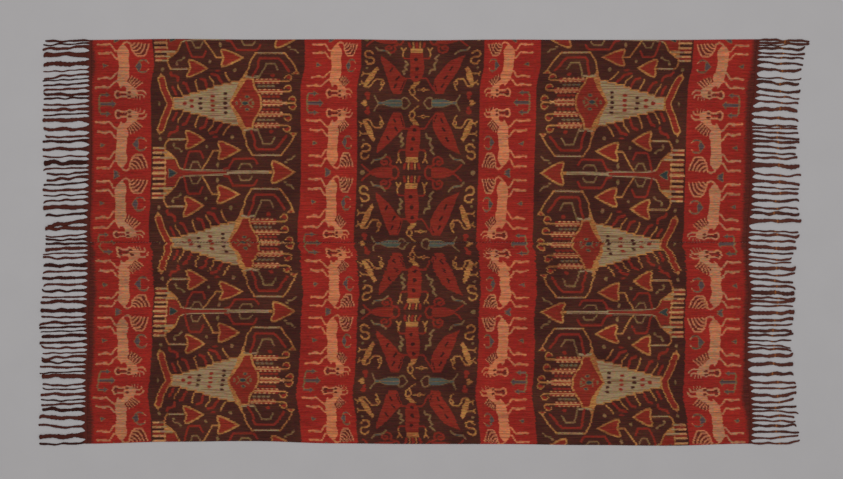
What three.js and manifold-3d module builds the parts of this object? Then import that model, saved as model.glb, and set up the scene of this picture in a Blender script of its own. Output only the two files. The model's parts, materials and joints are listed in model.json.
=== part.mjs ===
// Warp ikat cloth of two sewn panels, laid flat and face up, with a twisted warp fringe at both ends.
// Millimetres, +Z up. X runs along the warp, Y across it, and the underside lies at Z = 0.
import * as THREE from "three";
import { mergeVertices } from "three/addons/utils/BufferGeometryUtils.js";
import Module from "manifold-3d";

const wasm = await Module();
wasm.setup();

// Overall sizes
const CLOTH_WIDTH = 1220;
const OVERALL_LENGTH = 2316;
const WOVEN_LENGTH = 1984;
const WOVEN_MIDDLE = -14;
const THICKNESS = 1.5;
const CLEARANCE = 0.3;

// The last rows of weave, which carry the fringe, and the drawn-in ends of the outline
const STRIP_WIDTH = 6;
const END_SAMPLES = 28;
const EDGE_SAMPLES = 44;

// Twisted strands: how far the flat root runs out before the neck, how much loose fibres fill out the charted
// width of the twisted core, and the strand's own section and waviness
const FLARE_LEAST = 4;
const FLARE_SHARE = 0.55;
const FULLNESS = 1.3;
const WAVE_SHARE = 0.12;
const STRAND_HEIGHT_RATIO = 0.575;
const TOP_TO_BASE = 0.5;

// How far each end of the weave wanders along the warp.
// across runs from the upper edge of a panel (0) to its lower edge (1).
const END_LINES = {
  upper: [
    { across: 0.0, left: 1, right: 26 },
    { across: 0.12, left: 0, right: 20 },
    { across: 0.25, left: 1, right: 17 },
    { across: 0.38, left: 0, right: 3 },
    { across: 0.5, left: 1, right: 6 },
    { across: 0.65, left: -1, right: 6 },
    { across: 0.8, left: -2, right: 3 },
    { across: 0.92, left: -6, right: -4 },
    { across: 1.0, left: -5, right: -7 },
  ],
  lower: [
    { across: 0.0, left: -4, right: -6 },
    { across: 0.12, left: -4, right: -6 },
    { across: 0.25, left: -6, right: 2 },
    { across: 0.38, left: -9, right: -6 },
    { across: 0.5, left: -5, right: -9 },
    { across: 0.63, left: -11, right: -8 },
    { across: 0.75, left: -10, right: 2 },
    { across: 0.88, left: -13, right: 5 },
    { across: 1.0, left: -11, right: 2 },
  ],
};

// How far each selvedge is drawn in from the full width, along the warp from left (0) to right (1).
const SELVEDGES = [
  { along: 0.0, upper: 3, lower: 6 },
  { along: 0.125, upper: 0, lower: 12 },
  { along: 0.25, upper: 2, lower: 14 },
  { along: 0.375, upper: 1, lower: 7 },
  { along: 0.5, upper: 4, lower: 5 },
  { along: 0.625, upper: 2, lower: 5 },
  { along: 0.75, upper: 3, lower: 2 },
  { along: 0.875, upper: 3, lower: 0 },
  { along: 1.0, upper: 1, lower: 6 },
];

// The strands of each fringe from its upper edge down: their distances from the seam at the root, halfway
// and at the tip, their widths, and how far each tip stops short of half the overall length
const STRANDS = {
  upper: {
    left: {
      root: [
        606, 598, 588, 562, 537, 518, 504, 492, 478, 463, 445, 433, 416, 400, 387, 369, 340, 319, 306,
        280, 258, 240, 223, 211, 197, 181, 159, 144, 129, 106, 87, 63, 42, 25, 10,
      ],
      half: [
        603, 594, 582, 564, 535, 515, 499, 487, 473, 459, 443, 432, 412, 398, 384, 366, 339, 316, 302,
        280, 257, 238, 222, 205, 190, 174, 156, 141, 126, 105, 82, 55, 42, 18, 7,
      ],
      tip: [
        604, 592, 579, 562, 534, 510, 489, 485, 470, 458, 444, 430, 413, 397, 380, 367, 340, 315, 303,
        279, 256, 240, 220, 204, 186, 172, 156, 140, 124, 106, 82, 49, 39, 18, 9,
      ],
      width: [
        4.8, 3.6, 6, 9.6, 9.6, 3, 4.8, 3.3, 4.5, 4.8, 6.6, 4.2, 4.5, 6.6, 3.9, 8.7, 7.8, 4.8, 6, 6.9,
        3.6, 9.9, 3.9, 4.8, 6, 4.5, 5.7, 3.6, 4.5, 9.9, 5.1, 8.4, 7.8, 3.9, 4.5,
      ],
      short: [
        20, 14, 12, 15, 15, 14, 16, 12, 14, 15, 15, 15, 15, 12, 15, 12, 15, 20, 12, 12, 12, 16, 14, 24,
        24, 15, 12, 14, 15, 14, 21, 27, 20, 21, 21,
      ],
    },
    right: {
      root: [
        608, 598, 591, 583, 568, 556, 541, 520, 494, 483, 460, 442, 424, 397, 376, 352, 343, 333, 319,
        304, 288, 270, 255, 232, 207, 184, 167, 150, 126, 105, 90, 64, 36, 24, 6,
      ],
      half: [
        605, 596, 590, 580, 565, 554, 536, 515, 491, 476, 452, 436, 419, 400, 372, 349, 342, 328, 313,
        301, 284, 266, 252, 229, 200, 180, 162, 147, 124, 102, 86, 65, 32, 21, 3,
      ],
      tip: [
        604, 596, 594, 581, 565, 551, 534, 517, 487, 475, 450, 431, 417, 397, 369, 349, 341, 328, 310,
        300, 282, 264, 253, 228, 201, 174, 159, 147, 127, 103, 85, 63, 30, 17, 3,
      ],
      width: [
        5.1, 5.7, 3, 5.7, 4.5, 4.5, 5.1, 6.3, 3.6, 6.6, 6, 4.2, 4.8, 8.7, 6, 4.5, 4.2, 4.8, 5.7, 6.3,
        5.4, 4.5, 5.4, 9, 4.8, 6.9, 3.9, 6.6, 6, 4.8, 7.2, 7.8, 3.9, 6, 5.1,
      ],
      short: [
        3, 3, 64, 16, 16, 20, 22, 27, 27, 34, 30, 33, 36, 39, 36, 39, 39, 36, 33, 33, 42, 44, 39, 33,
        28, 32, 34, 36, 34, 36, 33, 27, 36, 33, 44,
      ],
    },
  },
  lower: {
    left: {
      root: [
        3, 17, 32, 44, 69, 85, 105, 125, 144, 163, 179, 204, 224, 240, 252, 264, 279, 297, 315, 330,
        341, 360, 373, 387, 401, 425, 437, 455, 471, 483, 501, 527, 552, 579, 603,
      ],
      half: [
        4, 19, 33, 48, 69, 87, 107, 127, 146, 165, 177, 205, 225, 241, 255, 267, 280, 301, 317, 332,
        345, 360, 375, 390, 401, 429, 442, 456, 474, 486, 502, 525, 553, 583, 605,
      ],
      tip: [
        5, 22, 36, 44, 70, 90, 108, 126, 147, 164, 182, 205, 223, 243, 257, 267, 285, 300, 316, 333,
        351, 359, 372, 393, 401, 426, 438, 457, 474, 488, 500, 523, 547, 581, 605,
      ],
      width: [
        5.4, 7.2, 3.3, 5.1, 7.5, 4.5, 6.9, 5.4, 5.4, 3.9, 7.2, 8.7, 4.5, 6, 4.8, 3, 7.2, 5.7, 4.8, 3.3,
        5.7, 4.8, 5.1, 3, 9.6, 4.5, 3.3, 6.6, 3.6, 4.8, 7.5, 8.4, 5.4, 9.6, 4.5,
      ],
      short: [
        21, 20, 13, 13, 15, 13, 11, 15, 10, 10, 6, 6, 8, 2, 2, 6, 9, 3, 8, 12, 9, 9, 4, 3, 10, 12, 12,
        6, 7, 8, 11, 2, 0, 2, 2,
      ],
    },
    right: {
      root: [
        12, 29, 45, 56, 78, 93, 110, 131, 151, 166, 176, 190, 212, 234, 248, 265, 278, 294, 307, 320,
        339, 366, 396, 420, 437, 458, 479, 495, 506, 521, 534, 549, 569, 587, 603,
      ],
      half: [
        17, 34, 51, 61, 79, 98, 115, 132, 152, 168, 179, 191, 212, 234, 249, 265, 279, 296, 310, 319,
        340, 365, 395, 421, 438, 460, 480, 496, 507, 522, 536, 551, 568, 586, 603,
      ],
      tip: [
        19, 33, 53, 61, 80, 96, 123, 134, 154, 169, 178, 192, 210, 229, 246, 266, 276, 293, 315, 325,
        338, 367, 392, 419, 436, 453, 470, 491, 510, 521, 538, 546, 571, 578, 598,
      ],
      width: [
        7.8, 4.2, 4.5, 3.6, 8.1, 4.8, 5.7, 5.7, 9, 4.5, 6, 4.2, 8.4, 6.6, 4.5, 6.6, 5.4, 3.6, 3.9, 5.1,
        8.1, 7.8, 7.5, 5.7, 4.5, 6.9, 5.1, 5.4, 3.9, 5.1, 4.2, 6, 5.1, 4.5, 4.5,
      ],
      short: [
        42, 51, 56, 57, 44, 46, 52, 45, 48, 45, 46, 52, 48, 51, 54, 56, 51, 57, 60, 57, 52, 52, 51, 44,
        42, 42, 50, 42, 36, 48, 45, 42, 34, 36, 32,
      ],
    },
  },
};

// A repeatable scatter between 0 and 1 for a whole number
const scatter = (n) => {
  const wave = Math.sin(n * 12.9898) * 43758.5453;
  return wave - Math.floor(wave);
};

// A smooth reading between the rows of a table
const readTable = (rows, key, column, t) => {
  const at = Math.min(Math.max(t, 0), 1);
  const next = Math.max(1, rows.findIndex((row) => row[key] >= at));
  const [a, b] = [rows[next - 1], rows[next]];
  const s = (at - a[key]) / (b[key] - a[key]);
  return a[column] + (b[column] - a[column]) * s * s * (3 - 2 * s);
};

const panelTop = { upper: CLOTH_WIDTH / 2, lower: -CLEARANCE / 2 };
const panelHeight = CLOTH_WIDTH / 2 - CLEARANCE / 2;
const acrossAt = (panel, y) => (panelTop[panel] - y) / panelHeight;
const weaveEnd = { left: WOVEN_MIDDLE - WOVEN_LENGTH / 2, right: WOVEN_MIDDLE + WOVEN_LENGTH / 2 };
const outward = { left: -1, right: 1 };
const fromSeam = { upper: 1, lower: -1 };

// The line where the weave stops and the strands begin
const endX = (panel, side, y) =>
  weaveEnd[side] + readTable(END_LINES[panel], "across", side, acrossAt(panel, y));

// The outer selvedge of a panel, and the straight edge along the seam
const selvedgeY = (panel, x) => {
  const drawnIn = readTable(SELVEDGES, "along", panel, (x - weaveEnd.left) / WOVEN_LENGTH);
  return fromSeam[panel] * (CLOTH_WIDTH / 2 - drawnIn);
};
const seamY = { upper: CLEARANCE / 2, lower: -CLEARANCE / 2 };

const samples = (count, from, to) =>
  Array.from({ length: count + 1 }, (_, i) => from + ((to - from) * i) / count);

const mix = (a, b, t) => a + (b - a) * t;

// A flat slab of cloth from its outline
const slab = (points) => {
  const shape = new THREE.Shape(points.map(([x, y]) => new THREE.Vector2(x, y)));
  return new THREE.ExtrudeGeometry(shape, { depth: THICKNESS, bevelEnabled: false });
};

// The points of one end of a panel, from the seam to the selvedge, moved inwards by a distance
const endPoints = (panel, side, inset) => {
  const corner = selvedgeY(panel, weaveEnd[side]);
  return samples(END_SAMPLES, seamY[panel], corner).map((y) => [
    endX(panel, side, y) - outward[side] * inset,
    y,
  ]);
};

const panelGeometry = (panel) => {
  const inset = STRIP_WIDTH + CLEARANCE;
  const leftEnd = endPoints(panel, "left", inset);
  const rightEnd = endPoints(panel, "right", inset);
  const from = rightEnd[END_SAMPLES][0];
  const to = leftEnd[END_SAMPLES][0];
  const selvedge = samples(EDGE_SAMPLES, from, to).map((x) => [x, selvedgeY(panel, x)]);
  return slab([...rightEnd, ...selvedge.slice(1, -1), ...leftEnd.reverse()]);
};

const toSolid = (geometry) => {
  const bare = geometry.clone();
  bare.deleteAttribute("normal");
  bare.deleteAttribute("uv");
  const merged = mergeVertices(bare, 1e-4);
  const vertProperties = Float32Array.from(merged.attributes.position.array);
  const triVerts = Uint32Array.from(merged.index.array);
  return new wasm.Manifold(new wasm.Mesh({ numProp: 3, vertProperties, triVerts }));
};

const toGeometry = (solid) => {
  const mesh = solid.getMesh();
  const geometry = new THREE.BufferGeometry();
  geometry.setAttribute("position", new THREE.BufferAttribute(Float32Array.from(mesh.vertProperties), 3));
  geometry.setIndex(new THREE.BufferAttribute(Uint32Array.from(mesh.triVerts), 1));
  geometry.computeVertexNormals();
  return geometry;
};

// The flat root of a strand, from inside the strip outwards in millimetres and in parts of its flare, with
// its half width against its slice, how far it has drawn in to the neck, and its heights against the cloth
const ROOTS = [
  { out: -3, flare: 0, half: 0.46, drawn: 0, base: 0.2, height: 0.8 },
  { out: 1.5, flare: 0, half: 0.43, drawn: 0, base: 0.2, height: 0.85 },
  { out: 0, flare: 0.5, half: 0.43, drawn: 0.65, base: 0, height: 1.4 },
];

// The stations of a strand: the part of its length past the flare, its width and its height against the neck
const STATIONS = [
  { past: 0.0, width: 1.0, height: 1.0 },
  { past: 0.22, width: 1.08, height: 1.05 },
  { past: 0.48, width: 0.95, height: 0.95 },
  { past: 0.74, width: 1.06, height: 1.0 },
  { past: 0.95, width: 0.95, height: 0.9 },
  { past: 1.0, width: 0.6, height: 0.55 },
];

// A closed strand with four sides, swept along its stations
const strandGeometry = (stations, flip) => {
  const positions = stations.flatMap(({ x, y, half, base, height }) => [
    [x, y - half, base],
    [x, y + half, base],
    [x, y + half * TOP_TO_BASE, height],
    [x, y - half * TOP_TO_BASE, height],
  ]);
  const faces = [[0, 2, 1], [0, 3, 2]];
  for (let k = 0; k + 1 < stations.length; k += 1) {
    for (let side = 0; side < 4; side += 1) {
      const a = 4 * k + side;
      const b = 4 * k + ((side + 1) % 4);
      faces.push([a, b, b + 4], [a, b + 4, a + 4]);
    }
  }
  const last = 4 * (stations.length - 1);
  faces.push([last, last + 1, last + 2], [last, last + 2, last + 3]);
  const index = faces.flatMap(([a, b, c]) => (flip ? [a, c, b] : [a, b, c]));
  const geometry = new THREE.BufferGeometry();
  geometry.setAttribute("position", new THREE.Float32BufferAttribute(positions.flat(), 3));
  geometry.setIndex(index);
  return geometry;
};

// The limits of the strands' slices of the weave's end, halfway between neighbouring roots
const sliceLimits = (panel, side) => {
  const roots = STRANDS[panel][side].root.map((root) => fromSeam[panel] * root);
  const corner = selvedgeY(panel, weaveEnd[side]);
  const [first, last] = panel === "upper" ? [corner, seamY.upper] : [seamY.lower, corner];
  const between = roots.slice(1).map((root, i) => (root + roots[i]) / 2);
  return [first, ...between, last];
};

const fringeGeometry = (panel, side, seed) => {
  const inner = endPoints(panel, side, STRIP_WIDTH);
  const strip = slab([...endPoints(panel, side, 0), ...inner.reverse()]);
  const strands = STRANDS[panel][side];
  const limits = sliceLimits(panel, side);
  let solid = toSolid(strip);
  strands.root.forEach((root, i) => {
    const share = limits[i] - limits[i + 1];
    const middle = (limits[i] + limits[i + 1]) / 2;
    const [rootY, halfY, tipY] = [root, strands.half[i], strands.tip[i]].map((y) => fromSeam[panel] * y);
    const rootX = endX(panel, side, middle);
    const tipX = outward[side] * (OVERALL_LENGTH / 2 - strands.short[i]);
    const flareLength = FLARE_LEAST + FLARE_SHARE * share;
    const neckX = rootX + outward[side] * flareLength;
    const neck = (FULLNESS * strands.width[i]) / 2;
    const turn = 2 * Math.PI * scatter(seed + i);
    const roots = ROOTS.map(({ out, flare, half, drawn, base, height }) => ({
      x: rootX + outward[side] * (out + flare * flareLength),
      y: mix(middle, rootY, drawn),
      half: mix(half * share, neck, drawn),
      base: base * THICKNESS,
      height: height * THICKNESS,
    }));
    const stations = STATIONS.map(({ past, width, height }) => {
      const curve =
        rootY * (1 - past) * (1 - 2 * past) + halfY * 4 * past * (1 - past) + tipY * past * (2 * past - 1);
      const wave = WAVE_SHARE * strands.width[i] * Math.min(1, past * 3) * Math.sin(turn + past * 9);
      return {
        x: mix(neckX, tipX, past),
        y: curve + wave,
        half: neck * width,
        base: 0,
        height: STRAND_HEIGHT_RATIO * strands.width[i] * height,
      };
    });
    solid = solid.add(toSolid(strandGeometry([...roots, ...stations], side === "left")));
  });
  return toGeometry(solid);
};

const cloth = (color) => new THREE.MeshStandardMaterial({ color, roughness: 0.92, metalness: 0 });

const group = new THREE.Group();
group.name = "ikat_cloth";
const addNode = (name, geometry, color) => {
  const mesh = new THREE.Mesh(geometry, cloth(color));
  mesh.name = name;
  group.add(mesh);
};

addNode("panel_upper", panelGeometry("upper"), 0x7a2a22);
addNode("panel_lower", panelGeometry("lower"), 0x762922);
addNode("fringe_upper_left", fringeGeometry("upper", "left", 1000), 0x3f1a17);
addNode("fringe_upper_right", fringeGeometry("upper", "right", 2000), 0x3f1a17);
addNode("fringe_lower_left", fringeGeometry("lower", "left", 3000), 0x3f1a17);
addNode("fringe_lower_right", fringeGeometry("lower", "right", 4000), 0x3f1a17);

export default group;
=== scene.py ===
"""Warp ikat mantle of two sewn panels with twisted fringes, laid flat on a plain floor."""

import json

import bpy
import numpy as np
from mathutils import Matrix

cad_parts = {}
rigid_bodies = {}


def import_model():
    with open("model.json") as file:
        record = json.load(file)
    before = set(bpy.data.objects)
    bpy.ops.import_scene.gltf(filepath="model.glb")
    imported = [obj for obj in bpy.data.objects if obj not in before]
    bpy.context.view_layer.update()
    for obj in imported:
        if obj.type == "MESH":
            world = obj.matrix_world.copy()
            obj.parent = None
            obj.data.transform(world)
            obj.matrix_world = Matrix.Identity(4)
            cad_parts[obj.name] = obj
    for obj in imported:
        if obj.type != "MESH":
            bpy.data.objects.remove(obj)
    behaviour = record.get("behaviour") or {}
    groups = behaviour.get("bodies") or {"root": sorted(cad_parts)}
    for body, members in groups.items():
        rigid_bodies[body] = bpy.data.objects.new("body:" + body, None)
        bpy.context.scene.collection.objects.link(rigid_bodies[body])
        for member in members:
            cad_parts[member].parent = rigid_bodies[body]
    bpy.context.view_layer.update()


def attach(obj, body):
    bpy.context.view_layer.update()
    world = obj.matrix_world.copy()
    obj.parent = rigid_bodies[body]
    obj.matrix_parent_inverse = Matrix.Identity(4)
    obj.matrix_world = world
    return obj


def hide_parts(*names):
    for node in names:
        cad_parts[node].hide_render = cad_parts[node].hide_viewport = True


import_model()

bl_info = {
    "name": "Ikat Mantle",
    "version": (1, 0, 0),
    "blender": (4, 5, 0),
    "location": "View3D > Sidebar > Ikat",
    "description": "Builds a flat warp ikat mantle with its dyed motifs, seam and twisted fringes",
    "category": "Add Mesh",
}

MM = 0.001
BODY = "root"
PANELS = ("upper", "lower")
SIDES = ("left", "right")
OUTWARD = {"left": -1.0, "right": 1.0}
FROM_SEAM = {"upper": 1.0, "lower": -1.0}

# Tables give places "across" a panel from its upper edge (0) to its lower edge (1), and values in mm.
ACROSS = {
    "upper": (0.0, 0.12, 0.25, 0.38, 0.5, 0.65, 0.8, 0.92, 1.0),
    "lower": (0.0, 0.12, 0.25, 0.38, 0.5, 0.63, 0.75, 0.88, 1.0),
}

# How far each end of the weave wanders along the warp.
END_LINES = {
    "upper": {"left": (1, 0, 1, 0, 1, -1, -2, -6, -5), "right": (26, 20, 17, 3, 6, 6, 3, -4, -7)},
    "lower": {"left": (-4, -4, -6, -9, -5, -11, -10, -13, -11), "right": (-6, -6, 2, -6, -9, -8, 2, 5, 2)},
}

# How far each selvedge is drawn in from the full width, along the warp from left to right.
ALONG = (0.0, 0.125, 0.25, 0.375, 0.5, 0.625, 0.75, 0.875, 1.0)
SELVEDGES = {"upper": (3, 0, 2, 1, 4, 2, 3, 3, 1), "lower": (6, 12, 14, 7, 5, 5, 2, 0, 6)}

# How far the tied pattern slipped along the warp while it was woven, in five columns from the left end
# to the right.
DRIFT = {
    "upper": (
        (1, 8, -1, 1, 1, 1, -2, -5, -2),
        (10, 11, -2, -1, 1, 1, -3, -11, -10),
        (15, 13, 1, 0, 0, -1, -4, -8, -9),
        (20, 18, 5, 4, 0, -3, -5, -5, -7),
        (30, 24, 10, 6, 5, 4, 0, -2, -8),
    ),
    "lower": (
        (5, 6, 10, 5, 5, 1, -7, 1, -1),
        (-5, 0, 6, 0, -2, -7, -15, -3, 0),
        (-6, 1, 5, 0, -2, -6, -12, -2, 3),
        (-4, 4, 4, -4, -1, -3, -8, 2, 6),
        (-6, 3, 4, 0, 1, -1, -5, 9, 16),
    ),
}

# How far the warp bundles wander down across the cloth, in the same columns.
WANDER = {
    "upper": (
        (9, 4, 2, 1, 3, 4, 1, 7, 4),
        (8, 2, -2, -2, -2, -3, -4, 5, 2),
        (15, 5, -1, -2, -2, -1, 2, 9, 6),
        (8, -1, -7, -3, 1, 1, 5, 12, 10),
        (13, 7, 5, 7, 12, 13, 13, 12, 9),
    ),
    "lower": (
        (-4, 2, 7, -4, -4, 0, -4, -8, -12),
        (-2, 2, 6, -4, -3, -2, -4, -8, -12),
        (3, 5, 7, 0, -2, 2, 1, -4, -10),
        (5, 6, 10, 0, 0, 5, 5, 3, -1),
        (5, 5, 10, 0, 0, 5, 2, -3, -6),
    ),
}

# How far single bundles slip to either side at most, near the seam and further out, from where it no longer
# changes. This makes the dyed edges ragged.
RAGGED = {"upper": (1.2, 1.0), "lower": (5.2, 2.4)}
RAGGED_OUT = 260

# The strands of each fringe from its upper edge down: their distances from the seam at the root,
# halfway and at the tip, their widths, and how far each tip stops short of half the overall length.
STRANDS = {
    ("upper", "left"): """
        root 606 598 588 562 537 518 504 492 478 463 445 433 416 400 387 369 340 319 306 280 258 240
            223 211 197 181 159 144 129 106 87 63 42 25 10
        half 603 594 582 564 535 515 499 487 473 459 443 432 412 398 384 366 339 316 302 280 257 238
            222 205 190 174 156 141 126 105 82 55 42 18 7
        tip 604 592 579 562 534 510 489 485 470 458 444 430 413 397 380 367 340 315 303 279 256 240
            220 204 186 172 156 140 124 106 82 49 39 18 9
        width 4.8 3.6 6 9.6 9.6 3 4.8 3.3 4.5 4.8 6.6 4.2 4.5 6.6 3.9 8.7 7.8 4.8 6 6.9 3.6 9.9 3.9
            4.8 6 4.5 5.7 3.6 4.5 9.9 5.1 8.4 7.8 3.9 4.5
        short 20 14 12 15 15 14 16 12 14 15 15 15 15 12 15 12 15 20 12 12 12 16 14 24 24 15 12 14 15
            14 21 27 20 21 21""",
    ("upper", "right"): """
        root 608 598 591 583 568 556 541 520 494 483 460 442 424 397 376 352 343 333 319 304 288 270
            255 232 207 184 167 150 126 105 90 64 36 24 6
        half 605 596 590 580 565 554 536 515 491 476 452 436 419 400 372 349 342 328 313 301 284 266
            252 229 200 180 162 147 124 102 86 65 32 21 3
        tip 604 596 594 581 565 551 534 517 487 475 450 431 417 397 369 349 341 328 310 300 282 264
            253 228 201 174 159 147 127 103 85 63 30 17 3
        width 5.1 5.7 3 5.7 4.5 4.5 5.1 6.3 3.6 6.6 6 4.2 4.8 8.7 6 4.5 4.2 4.8 5.7 6.3 5.4 4.5 5.4
            9 4.8 6.9 3.9 6.6 6 4.8 7.2 7.8 3.9 6 5.1
        short 3 3 64 16 16 20 22 27 27 34 30 33 36 39 36 39 39 36 33 33 42 44 39 33 28 32 34 36 34
            36 33 27 36 33 44""",
    ("lower", "left"): """
        root 3 17 32 44 69 85 105 125 144 163 179 204 224 240 252 264 279 297 315 330 341 360 373
            387 401 425 437 455 471 483 501 527 552 579 603
        half 4 19 33 48 69 87 107 127 146 165 177 205 225 241 255 267 280 301 317 332 345 360 375
            390 401 429 442 456 474 486 502 525 553 583 605
        tip 5 22 36 44 70 90 108 126 147 164 182 205 223 243 257 267 285 300 316 333 351 359 372 393
            401 426 438 457 474 488 500 523 547 581 605
        width 5.4 7.2 3.3 5.1 7.5 4.5 6.9 5.4 5.4 3.9 7.2 8.7 4.5 6 4.8 3 7.2 5.7 4.8 3.3 5.7 4.8
            5.1 3 9.6 4.5 3.3 6.6 3.6 4.8 7.5 8.4 5.4 9.6 4.5
        short 21 20 13 13 15 13 11 15 10 10 6 6 8 2 2 6 9 3 8 12 9 9 4 3 10 12 12 6 7 8 11 2 0 2 2""",
    ("lower", "right"): """
        root 12 29 45 56 78 93 110 131 151 166 176 190 212 234 248 265 278 294 307 320 339 366 396
            420 437 458 479 495 506 521 534 549 569 587 603
        half 17 34 51 61 79 98 115 132 152 168 179 191 212 234 249 265 279 296 310 319 340 365 395
            421 438 460 480 496 507 522 536 551 568 586 603
        tip 19 33 53 61 80 96 123 134 154 169 178 192 210 229 246 266 276 293 315 325 338 367 392
            419 436 453 470 491 510 521 538 546 571 578 598
        width 7.8 4.2 4.5 3.6 8.1 4.8 5.7 5.7 9 4.5 6 4.2 8.4 6.6 4.5 6.6 5.4 3.6 3.9 5.1 8.1 7.8
            7.5 5.7 4.5 6.9 5.1 5.4 3.9 5.1 4.2 6 5.1 4.5 4.5
        short 42 51 56 57 44 46 52 45 48 45 46 52 48 51 54 56 51 57 60 57 52 52 51 44 42 42 50 42 36
            48 45 42 34 36 32""",
}
STRAND_SEEDS = {
    ("upper", "left"): 1000,
    ("upper", "right"): 2000,
    ("lower", "left"): 3000,
    ("lower", "right"): 4000,
}

# How the strands leave the weave, in mm: how far in they start, how far out their wedges reach, at least and
# by shares of their width, and a wedge's half width at its foot as a share of its slice.
ROOT_INSET = 3
FLARE_LEAST, FLARE_SHARE, FLARE_SPREAD = 4, 0.8, 2.6
WEDGE_HALF = 0.45
# How they are twisted: thick and thin places as (share of the width, wave), the height and the length of a
# turn as shares of the width, and how much the plies show.
STRAND_KNOTS = ((0.12, 13), (0.08, 5.3), (0.05, 2.1))
STRAND_HEIGHT, TWIST_LAY, PLY_DEPTH = 0.575, 2.75, 0.07
# How they bend: a lazy swing by a share of the width and at most so far more, and kinks with their length.
LAZY_SHARE, LAZY_MOST = 0.12, 1.7
KINK_MOST, KINK_WAVE = 1.1, 6.5
# How their tips hook: the share of strands without a hook, and how far and over what length the others turn.
HOOKLESS, HOOK_MOST, HOOK_LENGTH = 0.6, 7, 12
# How their tips are rounded: over what length, and the share of the width that is left.
TIP_ROUND, TIP_SHARE = 3.0, 0.4
STRAND_STATIONS, STRAND_SIDES = 64, 10
STRIP_STATIONS = 90

# How the cloth lies, in mm: waves of its cockle as (length along, length across, rise) and the share of them
# that the selvedges hold down, the groove at the seam as (half width, depth), and the selvedges as (where
# they have fallen, over what width, how far).
COCKLE = ((310, 170, 0.22), (190, 420, 0.2), (130, 95, 0.1), (470, 60, 0.08))
COCKLE_HELD = 0.6
SEAM_GROOVE = (2.2, 0.55)
SELVEDGE_FALL = (6, 5.0, 0.25)

# Where a panel's bake map holds its top, its rim and its underside, as shares of the map's height.
MAP_TOP, MAP_RIM, MAP_RIM_HEIGHT, MAP_UNDER, MAP_UNDER_SCALE = 0.64, 0.655, 0.012, 0.7, 0.45

# The weave's unevenness: the size of its cells along and across the warp in mm, and their detail.
WEAVE_GRAINS = {
    "yarn": (55.56, 2.632, 2.0),
    "bundle": (166.7, 4.348, 1.0),
    "fleck": (6.25, 2.381, 2.0),
    "blotch": (11.11, 2.778, 2.0),
    "patch": (142.9, 100, 2.0),
    "tint": (9.091, 3.03, 1.0),
}
# Other patterns, in mm: ribs and yarns as they are drawn, the hairs on a strand, the thread's grain and the
# floor's mottle.
RIB_DRAWN, YARN_DRAWN = 2.4, 1.6
HAIRS_AROUND, HAIR_LENGTH = 9.0, 4.167
THREAD_GRAIN, PAPER_MOTTLE = 1.111, 111.1

# The picture's width in pixels, the camera's sensor in mm and its place over the floor, and the soft lamp's
# size, place and tilt in degrees.
PICTURE_WIDTH = 843
SENSOR = 36.0
CAMERA_PLACE = (-0.009, 0.0084)
LAMP_SIZE = (4.5, 3.0)
LAMP_PLACE = (0.0, 0.8, 3.4)
LAMP_TILT = -13

# Settings of nodes: an eased range, two colours mixed, and two colours multiplied.
SMOOTH = {"interpolation_type": "SMOOTHSTEP"}
MIXED = {"data_type": "RGBA", "output": 2}
MULTIPLIED = {**MIXED, "blend_type": "MULTIPLY"}

# Dyes that take another colour where they were laid over a red ground.
OVERDYED = {"teal": ("band", "red"), "dark": ("band",), "cream": ("band",)}

# The pattern is charted in ties, the bundles of warp that were bound off together for dyeing.
# Along the warp ties count from the middle of the cloth to its ends, across it from a tree's trunk to
# the next arrow.
PATTERN_MIDDLE = -19.5
HALF_REPEAT = 69.3
BANDS = ((61.0, 117.0), (267.0, 325.4))
# How steeply a band's dye ends at its edges, and at the outer edge of the outer bands, which is soft.
BAND_EDGE, BAND_RIM = 0.8, 0.22
FAR = 2.5
DYES = ("band", "gold", "pale", "salmon", "red", "teal", "olive", "dark", "cream")
DYE_LAYERS = ("dye_first", "dye_second", "dye_third")
# A dye fades over these ties at its outline, and uneven yarn carries the outline this far along the warp.
SOFT_EDGE = (0.5, -0.5)
EDGE_REACH = 1.5

# Steps of the pale tree trunk: where each begins along the warp, and its half width there. Its gold rim is
# this wide.
TRUNK_RIM = 1.2
TRUNK_STEPS = (
    (244.8, 6.5),
    (235, 8.8),
    (228, 11),
    (218.5, 13.2),
    (211, 15.7),
    (204.5, 18.3),
    (196, 20.4),
    (187.5, 22.4),
)
TRUNK_END = ((179.5, 22.4), (181, 15), (184.5, 8), (188.5, 0), (188.5, -8))

# Braided pendants: the middle, start and end of a red cord, where its curl is set, its half width, and
# the offsets of its light line and blocks.
BRAIDS = (
    (0.0, 155.2, 135.5, 131.5, 3.5, 1.3, 2.7),
    (11.3, 159.2, 134.8, 136.0, 2.5, 0.0, 1.9),
    (22.2, 163.6, 138.6, 137.5, 2.5, 0.0, 1.9),
)
BRAID_PITCH = 4.6
BRAID_CURL = (
    (5, 0),
    (-7.5, 0.2),
    (-9.3, 1.5),
    (-9.6, 3.6),
    (-8.3, 5.8),
    (-6.2, 6.5),
    (-4, 5.4),
    (-2.8, 3.6),
)

# Rows of dots between the pendants: their dye, first and last place along the warp, place across and radii.
BRAID_DOTS = (("teal", 158.5, 142, 16.9, (1.9, 1.1)), ("red", 153.5, 136, 6.5, (2.1, 1.3)))

# Comb teeth: their place across the warp, how far in their light part reaches, and their half width.
COMB_TEETH = (
    (44.3, 260, 1),
    (48.7, 257, 1),
    (53.7, 259, 1),
    (58.5, 253, 1),
    (63.7, 253, 1),
    (69.8, 253, 1.9),
)

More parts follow.
